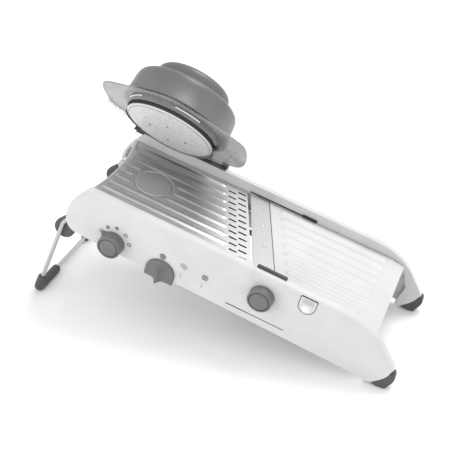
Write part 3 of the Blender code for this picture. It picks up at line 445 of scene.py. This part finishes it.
def make_piece(name, bm, finish, body, replaces=(), matrix=DECK, angle=40.0):
    """One visible piece: its mesh in millimetres, its finish, and the body that it rides on."""
    bm.transform(matrix)
    bmesh.ops.recalc_face_normals(bm, faces=bm.faces)
    mesh = bpy.data.meshes.new(name)
    bm.to_mesh(mesh)
    bm.free()
    mesh.shade_smooth()
    mesh.set_sharp_from_angle(angle=math.radians(angle))
    mesh.materials.append(finish)
    piece = bpy.data.objects.new(name, mesh)
    bpy.context.scene.collection.objects.link(piece)
    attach(piece, body)
    if replaces:
        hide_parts(*replaces)
    return piece


def cut_piece(piece, bm, matrix=DECK):
    """Cuts a shape out of a piece for good."""
    bm.transform(matrix)
    bmesh.ops.recalc_face_normals(bm, faces=bm.faces)
    mesh = bpy.data.meshes.new("cutter")
    bm.to_mesh(mesh)
    bm.free()
    cutter = bpy.data.objects.new("cutter", mesh)
    bpy.context.scene.collection.objects.link(cutter)
    step = piece.modifiers.new("cut", "BOOLEAN")
    step.operation = "DIFFERENCE"
    step.object = cutter
    bpy.context.view_layer.update()
    done = bpy.data.meshes.new_from_object(piece.evaluated_get(bpy.context.evaluated_depsgraph_get()))
    piece.modifiers.clear()
    piece.data = done
    bpy.data.objects.remove(cutter)


# ---- feed plate, blade and ramp -------------------------------------------------------------------

def rib_lift(u, y, spines, rib):
    """Height of pressed ribs with round ends at a point."""
    half, height, edge = rib
    lift = 0.0
    for u0, u1, middle in spines:
        if abs(y - middle) < half:
            away = math.hypot(max(u0 - u, u - u1, 0.0), y - middle)
            lift = max(lift, height * smooth((half - away) / edge))
    return lift


def plate_spines():
    """Middle lines of the plate's ribs, which stop short of the ring groove."""
    spines = []
    for y in RIB_ROWS:
        start = 12.0 - 6.9 * (y / 58.0) ** 2
        end = 115.4 + (54.7 - y) * 0.414
        across = y - MEDALLION[1]
        if abs(across) < 25.0:
            reach = math.sqrt(RIB_STOP_R ** 2 - across ** 2)
            if MEDALLION[0] - reach > start + 3.0:
                spines.append((start, MEDALLION[0] - reach - 1.0, y))
            spines.append((MEDALLION[0] + reach + 1.0, end, y))
        else:
            spines.append((start, end, y))
    return spines


def make_feed_plate():
    """Pressed steel plate: ribs, a ring groove, a rolled lip, and the comb slots."""
    spines = plate_spines()
    rows = 176
    columns = 190
    top = []
    bottom = []
    for i in range(columns + 1):
        y = -PLATE_HALF + 2 * PLATE_HALF * i / columns
        left = 3.9 - 6.9 * (y / 58.0) ** 2
        right = oblique(PLATE_EDGE, y)
        top_row = []
        bottom_row = []
        for j in range(rows + 1):
            u = left + (right - left) * j / rows
            w = rib_lift(u, y, spines, PLATE_RIB)
            ring = math.hypot(u - MEDALLION[0], y - MEDALLION[1])
            w -= RING_DEPTH * smooth(1.0 - abs(ring - RING_R) / 1.5)
            w -= 2.4 * smooth(1.0 - (u - left) / 3.2) ** 2
            top_row.append((u, y, w))
            bottom_row.append((u, y, min(w, 0.0) - 1.3))
        top.append(top_row)
        bottom.append(bottom_row)
    bm = bmesh.new()
    add_slab(bm, top, bottom)
    plate = make_piece("pressed_feed_plate", bm, STEEL, "feed_table", ["feed_plate"], angle=50)
    slots = bmesh.new()
    shades = bmesh.new()
    for u0, y0, slope, length in COMBS:
        for k in range(SLOT_COUNT):
            y = y0 - SLOT_PITCH * k
            u = u0 + (y0 - y) * slope
            outline = rounded_box(u, u + length, y - SLOT_HALF, y + SLOT_HALF, 0.6, 2)
            add_loft(slots, [(outline, -6.0), (outline, 6.0)])
            # A black lining in each slot, painted as the shade inside it.
            add_sleeve(shades, shrunk(outline, 0.02), shrunk(outline, 0.22), -3.6, -0.02)
    cut_piece(plate, slots)
    make_piece("slot_shades", shades, BLACK_ABS_AND_PAINTED_SHADE, "feed_table")


def make_ramp():
    """Moulded ramp with wide round ribs, dipping to a lip at its low end."""
    spines = [(193.6 + (50.6 - y) * 0.4214, 316.5, y) for y in RIB_ROWS]
    rows = 150
    columns = 170
    top = []
    bottom = []
    for i in range(columns + 1):
        share = i / columns
        top_row = []
        bottom_row = []
        for j in range(rows + 1):
            y = RAMP_NEAR + share * (RAMP_FAR - RAMP_NEAR)
            start = oblique(RAMP_START, y)
            u = start + (RAMP_END - start) * j / rows
            taper = 2.2 * smooth(1.0 - (u - RAMP_START[0]) / 50.0)
            y = RAMP_NEAR + share * (RAMP_FAR - RAMP_NEAR - taper)
            w = rib_lift(u, y, spines, RAMP_RIB)
            dip = 2.6 * smooth((u - 322.0) / 18.0)
            top_row.append((u, y, w - dip))
            bottom_row.append((u, y, -2.7 - dip))
        top.append(top_row)
        bottom.append(bottom_row)
    bm = bmesh.new()
    add_slab(bm, top, bottom)
    for side in (-1, 1):
        y0, y1 = sorted((side * 62.5, side * 60.0))
        add_soft_prism(bm, rounded_box(248.0, 337.0, y0, y1, 0.8, 3), -13.1, -2.8, edge=0.4)
    make_piece("ribbed_ramp", bm, WHITE_ABS, "frame", ["ramp"], angle=50)


def make_blade():
    """Ground blade with a slim bevel, and its four flush rivets."""
    bm = bmesh.new()
    rings = []
    for y in (PLATE_HALF - 2.6, -PLATE_HALF):
        front = oblique(BLADE_FRONT, y)
        back = oblique(BLADE_BACK, y)
        rings.append([bm.verts.new(p) for p in ((front, y, 0.35), (front + 4.5, y, 0.88),
                                                (back - 0.3, y, 0.88), (back, y, 0.6),
                                                (back, y, -0.28), (front + 1.0, y, -0.28))])
    close_rings(bm, rings)
    make_piece("ground_blade", bm, BLADE_STEEL, "blade_cassette", ["blade"], angle=20)
    for number, (u, y) in enumerate(RIVETS, 1):
        rivet = bmesh.new()
        add_turned(rivet, [(0, 0.9), (2.5, 0.9), (2.3, 1.05), (1.7, 1.12), (1.5, 1.0), (0, 1.0)],
                   (u, y, 0), (0, 0, 1), 24)
        make_piece(f"flush_rivet_{number}", rivet, BLADE_STEEL, "blade_cassette",
                   [f"blade_rivet_{number}"])


def make_far_strip():
    """Black strips painted as the shadow gaps beside the blade's far end and behind it, thicker at the low
    end.
    """
    bm = bmesh.new()
    # A black strip painted as the shadow gap beside the blade's far end.
    add_soft_prism(bm, rounded_box(146.0, 214.0, 62.9, 63.75, 0.35, 3), 0.6, 2.2, edge=0.25)
    make_piece("blade_end_shadow_gap", bm, BLACK_ABS_AND_PAINTED_SHADE, "frame")
    back = bmesh.new()
    # A black slit painted as the shadow gap behind the blade.
    corners = ((62.4, 0.1), (62.4, 0.85), (-62.6, 0.85), (-62.6, 0.1))
    slit = [(oblique(BLADE_BACK, y) + side, y) for y, side in corners]
    add_loft(back, [(slit, -0.4), (slit, 0.5)])
    make_piece("ramp_edge_shadow_gap", back, BLACK_ABS_AND_PAINTED_SHADE, "frame")
    stop = bmesh.new()
    # A thicker black block painted as the shadow in a slot at the low end.
    add_soft_prism(stop, rounded_box(212.0, 230.0, 61.4, 63.75, 0.6, 3), 0.95, 3.6, edge=0.4)
    make_piece("blade_end_shadow_slot", stop, BLACK_ABS_AND_PAINTED_SHADE, "frame")


def make_grip():
    """The wall's gate that leaves with the blade, and the dark finger bar on it."""
    bm = bmesh.new()
    section = [(-64.2, -0.45), (-64.2, 11.4), (-64.8, 12.0)]
    section += [(-68.0 - 6.0 * math.sin(math.radians(a)), 6.0 + 6.0 * math.cos(math.radians(a)))
                for a in range(0, 91, 15)]
    section += [(-74.0, -0.45)]
    rings = []
    for end in (201.25, 236.25):
        rings.append([bm.verts.new((end - (WALL_OUT + y) * 0.42, y, w)) for y, w in section])
    close_rings(bm, rings)
    make_piece("blade_gate", bm, WHITE_ABS, "blade_cassette", ["blade_grip"])
    bar = bmesh.new()
    add_soft_prism(bar, rounded_box(200.5, 234.5, -66.6, -62.9, 1.2, 4), 1.2, 14.6, edge=0.7)
    make_piece("finger_bar", bar, DARK_ABS, "blade_cassette")


# ---- controls -------------------------------------------------------------------------------------

def make_knob(name, node, middle, depth, body, lug_angle):
    """Moulded knob: waisted skirt, ring groove, dished face and a small pointer."""
    u, w = middle
    base = CONTROL_BASE
    bm = bmesh.new()
    profile = [(0, 0), (13.8, 0), (13.9, 0.4), (13.9, 1.4), (13.7, 1.9), (13.6, 3.0)]
    profile += [(KNOB_R - 0.1, depth - 1.6)] + arc((KNOB_R - 1.4, depth - 1.4), 1.3, 0, 90, 5)
    profile += [(KNOB_R - 2.3, depth - 0.05), (KNOB_R - 2.6, depth - 0.75), (KNOB_R - 3.3, depth - 0.75),
                (KNOB_R - 3.6, depth - 0.1), (KNOB_R - 4.2, depth), (6.0, depth - 0.25), (0, depth - 0.35)]
    add_turned(bm, profile, (u, base, w), (0, -1, 0), 96)
    make_piece(name, bm, GREY_ABS, body, [node], angle=30)
    if lug_angle is not None:
        tip = Vector((math.cos(lug_angle), math.sin(lug_angle)))
        across = Vector((-tip.y, tip.x))
        start = Vector(middle) + tip * (KNOB_R - 1.5)
        end = Vector(middle) + tip * (KNOB_R + 3.2)
        outline = [tuple(start + across * 4.6), tuple(end + across * 1.0), tuple(end - across * 1.0),
                   tuple(start - across * 4.6)]
        lug = bmesh.new()
        add_soft_prism(lug, outline, base - 2.4, base - 0.1, "uw", 0.3)
        make_piece(name + "_pointer", lug, GREY_ABS, body)
    # A black ring laid in the face's groove, painted as the groove's shade.
    ring = bmesh.new()
    add_turned(ring, [(KNOB_R - 3.45, depth - 0.72), (KNOB_R - 2.5, depth - 0.72),
                      (KNOB_R - 2.5, depth - 0.4), (KNOB_R - 3.45, depth - 0.4)],
               (u, base, w), (0, -1, 0), 96, True)
    make_piece(name + "_ring_groove_shade", ring, BLACK_ABS_AND_PAINTED_SHADE, body)


def make_slider():
    """Arch slide with a pinch fin that swells out of the plate, and its hook under the wall."""
    middle_u, middle_w = SLIDER
    radius = SLIDER_R
    bottom = SLIDER_FOOT
    base = CONTROL_BASE
    columns = 72
    rows = 44
    front = []
    back = []
    for i in range(columns + 1):
        along = -1.0 + 2.0 * i / columns
        du = radius * math.sin(along * math.pi / 2)
        top = middle_w + math.sqrt(max(radius ** 2 - du ** 2, 0.0))
        front_row = []
        back_row = []
        for j in range(rows + 1):
            w = bottom + (top - bottom) * j / rows
            rim = min(radius - abs(du), (top - w) if top > middle_w else radius)
            edge = smooth(min(rim, w - bottom + 0.9) / 1.0)
            fin_top = smooth((middle_w + radius - 3.0 - w) / 6.0)
            fin = math.exp(-(abs(du) / 3.2) ** 1.5) * fin_top
            depth = 0.6 + 2.0 * edge + 8.6 * fin
            front_row.append((middle_u + du, base - depth, w))
            back_row.append((middle_u + du, base, w))
        front.append(front_row)
        back.append(back_row)
    bm = bmesh.new()
    add_slab(bm, front, back)
    bmesh.ops.remove_doubles(bm, verts=bm.verts, dist=0.001)
    make_piece("pinch_slider", bm, GREY_ABS, "mode_slide", ["mode_slider"], angle=50)
    hook = bmesh.new()
    section = [(base - 0.5, -55.5), (-58.1, -55.5), (-58.1, -40.0), (-62.0, -40.0), (-62.0, -53.5),
               (base - 0.5, -53.5)]
    add_loft(hook, [(section, middle_u - 9.0), (section, middle_u + 9.0)], "yw")
    make_piece("slider_hook", hook, GREY_ABS, "mode_slide")


def button_outline(radius, top):
    """A D laid on its back: round below, flat on top."""
    points = arc((BUTTON_U, -1.5), radius, 180, 360, 24)
    points += arc((BUTTON_U + radius - 1.2, top - 1.2), 1.2, 0, 90, 4)
    points += arc((BUTTON_U - radius + 1.2, top - 1.2), 1.2, 90, 180, 4)
    return points


def make_button():
    """Release button: D-shaped, with a thumb dome in brighter plastic as a painted highlight, and fine
    ridges, in a painted shadow gap.
    """
    bm = bmesh.new()
    add_soft_prism(bm, button_outline(9.0, 9.1), -WALL_OUT - 0.1, -69.7, "uw", 0.5)
    make_piece("release_pad", bm, WHITE_ABS, "button", ["release_button"])
    # The dome in the brighter cap plastic is a painted highlight.
    dome = bmesh.new()
    add_turned(dome, [(0, 0)] + [(5.6 * math.cos(math.radians(a)), 1.9 * math.sin(math.radians(a)))
                                 for a in range(0, 90, 10)] + [(0, 1.9)],
               (BUTTON_U, -WALL_OUT - 0.05, -4.5), (0, -1, 0), 48)
    make_piece("release_dome_highlight", dome, CAP_ABS_AND_HIGHLIGHT, "button")
    ridges = bmesh.new()
    for k in range(6):
        u = BUTTON_U - 5.2 + k * 2.08
        add_soft_prism(ridges, rounded_box(u - 0.35, u + 0.35, 2.2, 7.6, 0.34, 3),
                       -WALL_OUT - 0.5, -WALL_OUT + 0.1, "uw", 0.15)
    make_piece("release_ridges", ridges, PALE_PRINT, "button")
    # A black ring round the button, painted as the shadow in its gap.
    gap = bmesh.new()
    add_sleeve_uw(gap, button_outline(9.62, 9.72), button_outline(9.1, 9.2), -73.9, -71.0)
    make_piece("button_well_shadow", gap, BLACK_ABS_AND_PAINTED_SHADE, "frame")


def add_dot(bm, middle, profile, steps):
    """A printed spot; profile gives its radii."""
    u, w = middle
    add_turned(bm, profile, (u, PRINT_BACK, w), (0, -1, 0), steps, profile[0][0] > 0)


def add_flat_print(bm, outline):
    """A printed patch on the near wall."""
    add_loft(bm, [(outline, PRINT_FACE), (outline, PRINT_BACK)], "uw")


def make_prints():
    """Generic cut marks printed beside the controls: dots, a hatch and a grid oval."""
    for number, middle in enumerate(JULIENNE_MARKS, 1):
        bm = bmesh.new()
        if number in (1, 4, 5):
            add_dot(bm, middle, [(1.5, 0), (2.6, 0), (2.6, 0.2), (1.5, 0.2)], 32)
            add_dot(bm, middle, [(0, 0), (0.7, 0), (0.7, 0.2), (0, 0.2)], 16)
        else:
            add_dot(bm, middle, [(0, 0), (2.3, 0), (2.3, 0.2), (0, 0.2)], 32)
        make_piece(f"julienne_mark_{number}", bm, PRINT, "frame")
    dot = bmesh.new()
    add_dot(dot, SLICE_MARK, [(0, 0), (3.9, 0), (3.9, 0.2), (0, 0.2)], 40)
    make_piece("slice_mark", dot, PRINT, "frame")
    hatch = bmesh.new()
    u0, w0 = STRIP_MARK
    for k in range(4):
        u = u0 + (k - 1.5) * 2.1
        reach = math.sqrt(3.9 ** 2 - ((k - 1.5) * 2.1) ** 2)
        add_flat_print(hatch, [(u - 0.45 + 1.0, w0 - reach), (u + 0.45 + 1.0, w0 - reach),
                               (u + 0.45 - 1.0, w0 + reach), (u - 0.45 - 1.0, w0 + reach)])
    make_piece("strip_mark", hatch, PRINT, "frame")
    oval = bmesh.new()
    u0, w0 = DICE_MARK
    for k in range(3):
        w = w0 + (k - 1) * 2.5
        reach = math.sqrt(4.1 ** 2 - ((k - 1) * 2.5) ** 2)
        add_flat_print(oval, rounded_box(u0 - reach, u0 + reach, w - 0.95, w + 0.95, 0.9, 4))
    make_piece("dice_mark", oval, PRINT, "frame")
    for number, u in enumerate(STOP_TICKS, 1):
        tick = bmesh.new()
        add_flat_print(tick, rounded_box(u - 0.6, u + 0.6, -41.5, -35.0, 0.55, 3))
        make_piece(f"stop_tick_{number}", tick, PALE_PRINT, "frame")
    # A grey strip at the back of the pointer's groove, painted as the groove's shade.
    slot = bmesh.new()
    outline = rounded_box(183.1, 251.4, -45.75, -44.25, 0.7, 4)
    add_loft(slot, [(outline, -72.2), (outline, -72.0)], "uw")
    make_piece("pointer_slot_painted_shade", slot, PRINT, "frame")


# ---- stand and feet -------------------------------------------------------------------------------

def stand_route():
    """The near half of the wire, from its stub in the wall to the bar on the table."""
    path = [STAND_STUB] + bend(STAND_STUB, STAND_ELBOW, STAND_KNEE, 4.0)
    path += bend(STAND_ELBOW, STAND_KNEE, STAND_CORNER, 6.0, 4)
    return path + bend(STAND_KNEE, STAND_CORNER, STAND_MIDDLE, CORNER_BEND, 10)


def mirrored(path):
    """The same path on the far side, run backwards."""
    return [Vector((p[0], -p[1], p[2])) for p in reversed(path)]


def make_stand():
    """Bent wire with a rubber boot at each corner and a pad at each hinge."""
    route = stand_route()
    wire = bmesh.new()
    add_tube(wire, route + mirrored(route), WIRE_R, 24)
    make_piece("bent_wire", wire, WIRE_STEEL, "stand", ["stand_wire"], angle=50)
    up = (STAND_KNEE - STAND_CORNER).normalized()
    along = Vector((0.0, 1.0, 0.0))
    elbow = bend(STAND_KNEE, STAND_CORNER, STAND_MIDDLE, CORNER_BEND, 12)
    sizes = [2.6, 4.2, 4.9] + [BOOT_R] * len(elbow) + [BOOT_R, 4.9, 4.2, 2.6]
    leg_part = [STAND_CORNER + up * d for d in (22.6, 22.2, 21.0)] + elbow
    near = leg_part + [STAND_CORNER + along * d for d in (40.0, 43.2, 44.4, 44.8)]
    far = mirrored(leg_part + [STAND_CORNER + along * d for d in (20.0, 24.2, 25.4, 25.8)])
    for name, node, line, widths in (("corner_boot_near", "stand_boot_near", near, sizes),
                                     ("corner_boot_far", "stand_boot_far", far, sizes[::-1])):
        boot = bmesh.new()
        add_tube(boot, line, widths, 24)
        make_piece(name, boot, RUBBER, "stand", [node], angle=50)
    for name, node, side in (("hinge_pad_near", "stand_pad_near", -1),
                             ("hinge_pad_far", "stand_pad_far", 1)):
        pad = bmesh.new()
        outline = arc((-17.5, -59.6), 12.0, 150, 390, 40) + [(-13.6, -46.0), (-16.0, -44.2), (-20.4, -44.6)]
        y0, y1 = sorted((side * 57.0, side * 66.0))
        add_soft_prism(pad, outline, y0, y1, "uw", 2.6, 6)
        make_piece(name, pad, RUBBER, "stand", [node], angle=50)


# ---- guard ----------------------------------------------------------------------------------------

def guard_piece(name, bm, finish, body, replaces=(), angle=40.0):
    return make_piece(name, bm, finish, body, replaces, GUARD, angle)


def flange_outline():
    """Wide lobes each side of the tube, as one smooth curve through the knots' middles."""
    middles = [((p[0] + q[0]) / 2, (p[1] + q[1]) / 2) for p, q in zip(FLANGE, FLANGE[1:])]
    points = [FLANGE[0]]
    for before, knot, after in zip(middles, FLANGE[1:-1], middles[1:]):
        for i in range(8):
            t = i / 8
            points.append(tuple(before[k] * (1 - t) ** 2 + 2 * knot[k] * t * (1 - t) + after[k] * t * t
                                for k in (0, 1)))
    points += [middles[-1], FLANGE[-1]]
    return [(g, -s) for g, s in points]


def tube_part(name, start, turn, low, finish, steps=64):
    """Half of the tube's wall, from a start angle, with a rolled rim."""
    bm = bmesh.new()
    profile = [(TUBE_R - 1.5, low + 0.4), (TUBE_R - 1.1, low), (TUBE_R - 0.4, low),
               (TUBE_R, low + 0.5), (TUBE_R, -1.1), (TUBE_R - 1.5, -1.1)]
    rings = []
    for i in range(steps + 1):
        angle = math.radians(start + turn * i / steps)
        rings.append([bm.verts.new((r * math.cos(angle), r * math.sin(angle) - GUARD_MID, t))
                      for r, t in profile])
    close_rings(bm, rings)
    guard_piece(name, bm, finish, "guard", angle=50)


def make_flange():
    """Clear flange with its food tube, rails, beads, gripping teeth and hinge web."""
    middle = -GUARD_MID
    bm = bmesh.new()
    add_soft_prism(bm, flange_outline(), -1.0, 1.4, "uy", 1.0, 5)
    flange = guard_piece("clear_flange", bm, CLEAR, "guard", ["guard_flange"], 50)
    hole = bmesh.new()
    add_turned(hole, [(0, -20), (TUBE_R - 1.5, -20), (TUBE_R - 1.5, 20), (0, 20)], (0, middle, 0),
               (0, 0, 1), 96)
    cut_piece(flange, hole, GUARD)
    tube_part("tube_wall_near", 180.0, 180.0, TUBE_RIM_NEAR, CLEAR)
    # The far half is drawn in the darker acrylic as the shade inside the tube.
    tube_part("tube_wall_far", 0.0, 180.0, TUBE_RIM, CLEAR_PAINTED_SHADE)
    web = bmesh.new()
    add_soft_prism(web, rounded_box(-44.0, 44.0, -12.0, -0.4, 0.4, 2), -0.9, 1.2, "uy", 0.2)
    guard_piece("hinge_web", web, CLEAR, "guard")
    barrel = bmesh.new()
    add_tube(barrel, [(-49.4, 0, 0), (56.0, 0, 0)], 1.65, 20)
    guard_piece("hinge_barrel", barrel, CLEAR, "guard")
    rails = bmesh.new()
    for start, end, t in ((204.0, 233.0, -3.0), (278.0, 310.0, -3.4)):
        points = arc((0, middle), TUBE_R + 0.35, start, end, 16)
        add_tube(rails, [(g, y, t) for g, y in points], 0.75, 10)
    guard_piece("tube_rails", rails, CAP_ABS_AND_HIGHLIGHT, "guard")
    rings = bmesh.new()
    for t, radius in ((-1.7, 0.4), (-4.9, 0.3)):
        points = arc((0, middle), TUBE_R + 0.1, 184.0, 356.0, 72)
        add_tube(rings, [(g, y, t) for g, y in points], radius, 8)
    guard_piece("tube_beads", rings, CLEAR, "guard")
    block = bmesh.new()
    outline = rounded_box(52.6, 56.6, middle - 4.6, middle - 0.2, 0.4, 2)
    add_soft_prism(block, outline, -11.6, -7.5, "uy", 0.3)
    guard_piece("rim_stop", block, BLACK_ABS_AND_PAINTED_SHADE, "guard")
    teeth = bmesh.new()
    rows = (((-84.5, 48.0), (-60.0, 27.0), 9), ((57.5, 62.0), (74.0, 40.0), 5))
    for (g0, s0), (g1, s1), count in rows:
        for k in range(count):
            t = k / (count - 1)
            g = g0 + (g1 - g0) * t
            y = -(s0 + (s1 - s0) * t + 1.6 * (k % 2))
            foot = [(g - 1.6, y - 1.6), (g + 1.6, y - 1.6), (g + 1.6, y + 1.6), (g - 1.6, y + 1.6)]
            tip = [(g - 0.3, y - 0.3), (g + 0.3, y - 0.3), (g + 0.3, y + 0.3), (g - 0.3, y + 0.3)]
            add_loft(teeth, [(tip, -6.2 - 0.8 * (k % 2)), (foot, -0.9)])
    guard_piece("gripping_teeth", teeth, TUBE_CLEAR, "guard", angle=20)
    rim = bmesh.new()
    edge = [(g, y, 0.2) for g, y in shrunk(flange_outline(), 0.9)]
    add_tube(rim, edge, 0.85, 8)
    guard_piece("flange_bead", rim, TUBE_CLEAR, "guard", angle=60)


def make_cup():
    """Satin two-tier hand grip."""
    middle = (0, -GUARD_MID, 0)
    up = (0, 0, 1)
    cup = bmesh.new()
    outer = [(61.4, 1.6), (62.6, 1.9), (62.6, 3.0), (62.0, 4.0), (60.9, 24.0)]
    outer += arc((52.4, 26.6), 8.0, 5, 90, 10)
    inner = [(46.4, 34.7), (44.6, 34.0), (44.4, 31.8), (52.5, 31.6), (57.8, 26.0), (60.0, 1.6)]
    add_turned(cup, outer + inner, middle, up, 112, True)
    guard_piece("grip_cup", cup, CUP_ABS, "guard", ["guard_cup"], 60)
    tier = bmesh.new()
    outer = [(43.9, 14.0), (43.6, 40.0)] + arc((36.0, 44.0), 7.6, 0, 78, 9)
    inner = [(33.9, 51.4), (33.9, 48.6), (40.6, 43.0), (41.2, 14.0)]
    add_turned(tier, outer + inner, middle, up, 112, True)
    guard_piece("grip_upper_tier", tier, CUP_ABS, "plunger", ["plunger_grip"], 60)
    cap = bmesh.new()
    add_turned(cap, [(0, 47.4), (33.4, 48.9), (33.6, 51.7), (32.6, 52.3), (20.0, 53.0), (0, 53.3)],
               middle, up, 96)
    guard_piece("grip_cap", cap, CAP_ABS_AND_HIGHLIGHT, "plunger", ["plunger_cap"], 60)


def make_pusher():
    """Hammered pusher disc in a sleeve painted black as its shade, with short prongs."""
    middle = (0, -GUARD_MID, 0)
    up = (0, 0, 1)
    face = DISC_FACE
    disc = bmesh.new()
    add_turned(disc, [(0, face)] + [(8.0 * k, face) for k in range(1, 6)] +
               [(48.6, face), (DISC_FACE_R, face + 0.15)], middle, up, 112)
    add_turned(disc, [(0, face + 1.0), (DISC_FACE_R, face + 0.15)], middle, up, 112)
    bmesh.ops.remove_doubles(disc, verts=disc.verts, dist=0.001)
    guard_piece("hammered_pusher", disc, SPECKLED, "plunger", ["pusher_disc"], 30)
    side = bmesh.new()
    add_turned(side, [(48.9, face + 0.5), (DISC_FACE_R + 0.15, face + 0.3), (51.6, face + 0.9),
                      (DISC_R, face + 1.5), (DISC_R, face + 1.95), (48.9, face + 1.95)], middle, up,
               112, True)
    guard_piece("pusher_side", side, WHITE_ABS, "plunger", angle=50)
    line = bmesh.new()
    add_turned(line, [(DISC_FACE_R - 0.35, face - 0.05), (DISC_FACE_R + 0.1, face + 0.1),
                      (DISC_FACE_R + 0.1, face + 0.3), (DISC_FACE_R - 0.35, face + 0.2)], middle, up,
               112, True)
    guard_piece("pusher_edge_line", line, PRINT, "plunger")
    # The sleeve round the disc is painted black as the shade inside the tube.
    sleeve = bmesh.new()
    add_turned(sleeve, [(49.9, face + 2.3), (52.1, face + 2.3), (52.1, -0.6), (49.9, -0.6)], middle, up,
               96, True)
    guard_piece("sleeve_painted_shade", sleeve, BLACK_ABS_AND_PAINTED_SHADE, "plunger", ["plunger_sleeve"])
    for number, (g, s) in enumerate(PRONGS, 1):
        prong = bmesh.new()
        add_turned(prong, [(0, face - 0.02), (1.6, face - 0.02), (1.3, face - 0.4), (0.5, face - 0.75),
                           (0, face - 0.8)], (g, -GUARD_MID - s, 0), up, 20)
        guard_piece(f"short_prong_{number}", prong, GREY_ABS, "plunger", [f"prong_{number}"])


# ---- carried-over CAD nodes -----------------------------------------------------------------------

# The chassis takes the darker white ABS, its tone painted shade.
CARRIED = {
    "near_wall": WHITE_ABS, "far_wall": WHITE_ABS, "chassis": WHITE_ABS_PAINTED_SHADE, "foot_near": RUBBER,
    "foot_far": RUBBER, "blade_bed": BLACK_ABS_AND_PAINTED_SHADE, "stand_bush_near": WHITE_ABS,
    "stand_bush_far": WHITE_ABS, "feed_carrier": GREY_ABS, "thickness_shaft": WIRE_STEEL,
    "drop_cam_near": GREY_ABS, "drop_cam_far": GREY_ABS, "thickness_pointer": DARK_ABS,
    "julienne_shaft": WIRE_STEEL, "lift_cam": GREY_ABS, "julienne_comb_a": BLADE_STEEL,
    "julienne_comb_b": BLADE_STEEL, "lift_wedge": GREY_ABS, "guard_shoe": DARK_ABS,
    "hinge_pin": WIRE_STEEL, "plunger_stem": CAP_ABS_AND_HIGHLIGHT,
}
SOFT_EDGES = {"foot_near": 3.0, "foot_far": 3.0, "guard_shoe": 0.25, "chassis": 0.4}


def finish_node(name, finish):
    """Gives a CAD node its finish, and small rims where it is moulded."""
    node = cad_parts[name]
    node.data.materials.clear()
    node.data.materials.append(finish)
    weld = node.modifiers.new("weld", "WELD")
    weld.merge_threshold = 0.00001
    if name in SOFT_EDGES:
        edge = node.modifiers.new("edges", "BEVEL")
        edge.width = SOFT_EDGES[name] * MM
        edge.segments = 3
        edge.limit_method = "ANGLE"
        edge.angle_limit = math.radians(40)


for node_name, node_finish in CARRIED.items():
    finish_node(node_name, node_finish)
for label in ("near", "far"):
    for number in (1, 2, 3):
        finish_node(f"wall_screw_{label}_{number}", WIRE_STEEL)

make_feed_plate()
make_ramp()
make_blade()
make_far_strip()
make_grip()
make_knob("thickness_dial", "thickness_knob", THICKNESS_KNOB, 10.5, "thickness_drive", None)
make_knob("julienne_dial", "julienne_knob", JULIENNE_KNOB, 12.5, "julienne_drive", math.radians(150))
make_slider()
make_button()
make_prints()
make_stand()
make_flange()
make_cup()
make_pusher()


# ---- studio ---------------------------------------------------------------------------------------

def make_floor():
    """A wide pale sheet under the slicer."""
    bm = bmesh.new()
    bmesh.ops.create_grid(bm, x_segments=2, y_segments=2, size=6.0)
    mesh = bpy.data.meshes.new("floor")
    bm.to_mesh(mesh)
    bm.free()
    floor = bpy.data.objects.new("floor", mesh)
    floor.location.z = -0.0004
    bpy.context.scene.collection.objects.link(floor)
    material, tree, shader, where = new_finish("pale_sheet", Roughness=0.9)
    tree.links.new(two_tones(tree, where, 900.0, "#f9f9f9", "#fcfcfc"), shader.inputs["Base Color"])
    mesh.materials.append(material)


def make_light(name, place, target, size, power):
    data = bpy.data.lights.new(name, "AREA")
    data.shape = "DISK"
    data.size = size
    data.energy = power
    lamp = bpy.data.objects.new(name, data)
    lamp.location = place
    lamp.rotation_euler = (Vector(target) - Vector(place)).to_track_quat("-Z", "Y").to_euler()
    bpy.context.scene.collection.objects.link(lamp)


def make_world():
    """Soft white room, darker to the left so that steel has something to mirror."""
    world = bpy.data.worlds.new("room")
    bpy.context.scene.world = world
    world.use_nodes = True
    tree = world.node_tree
    back = tree.nodes["Background"]
    where = add_node(tree, "ShaderNodeTexCoord")
    parts = add_node(tree, "ShaderNodeSeparateXYZ", {"Vector": where.outputs["Generated"]})
    side = add_node(tree, "ShaderNodeMapRange", {"Value": parts.outputs["X"], "From Min": -0.3,
                                                 "From Max": 0.25, "To Min": 0.8, "To Max": 1.1})
    tree.links.new(side.outputs["Result"], back.inputs["Strength"])
    back.inputs["Color"].default_value = (1.0, 1.0, 1.0, 1.0)


def make_camera():
    flat = math.cos(CAMERA_ELEVATION)
    back = Vector((math.sin(CAMERA_AZIMUTH) * flat, -math.cos(CAMERA_AZIMUTH) * flat,
                   math.sin(CAMERA_ELEVATION)))
    right = Vector((0, 0, 1)).cross(back).normalized()
    up = back.cross(right)
    right_rolled = right * math.cos(CAMERA_ROLL) + up * math.sin(CAMERA_ROLL)
    up_rolled = up * math.cos(CAMERA_ROLL) - right * math.sin(CAMERA_ROLL)
    data = bpy.data.cameras.new("camera")
    data.lens = LENS
    data.sensor_width = 36.0
    camera = bpy.data.objects.new("camera", data)
    camera.matrix_world = Matrix((
        (right_rolled.x, up_rolled.x, back.x, CAMERA_PLACE.x),
        (right_rolled.y, up_rolled.y, back.y, CAMERA_PLACE.y),
        (right_rolled.z, up_rolled.z, back.z, CAMERA_PLACE.z),
        (0, 0, 0, 1)))
    bpy.context.scene.collection.objects.link(camera)
    bpy.context.scene.camera = camera


make_floor()
make_world()
make_light("overhead", (0.5, 0.7, 1.7), (0.0, 0.0, 0.05), 0.9, 14.0)
make_light("front_fill", (-1.1, -1.4, 0.8), (0.0, 0.0, 0.1), 1.4, 10.0)
make_camera()
bpy.context.scene.view_settings.view_transform = "Standard"
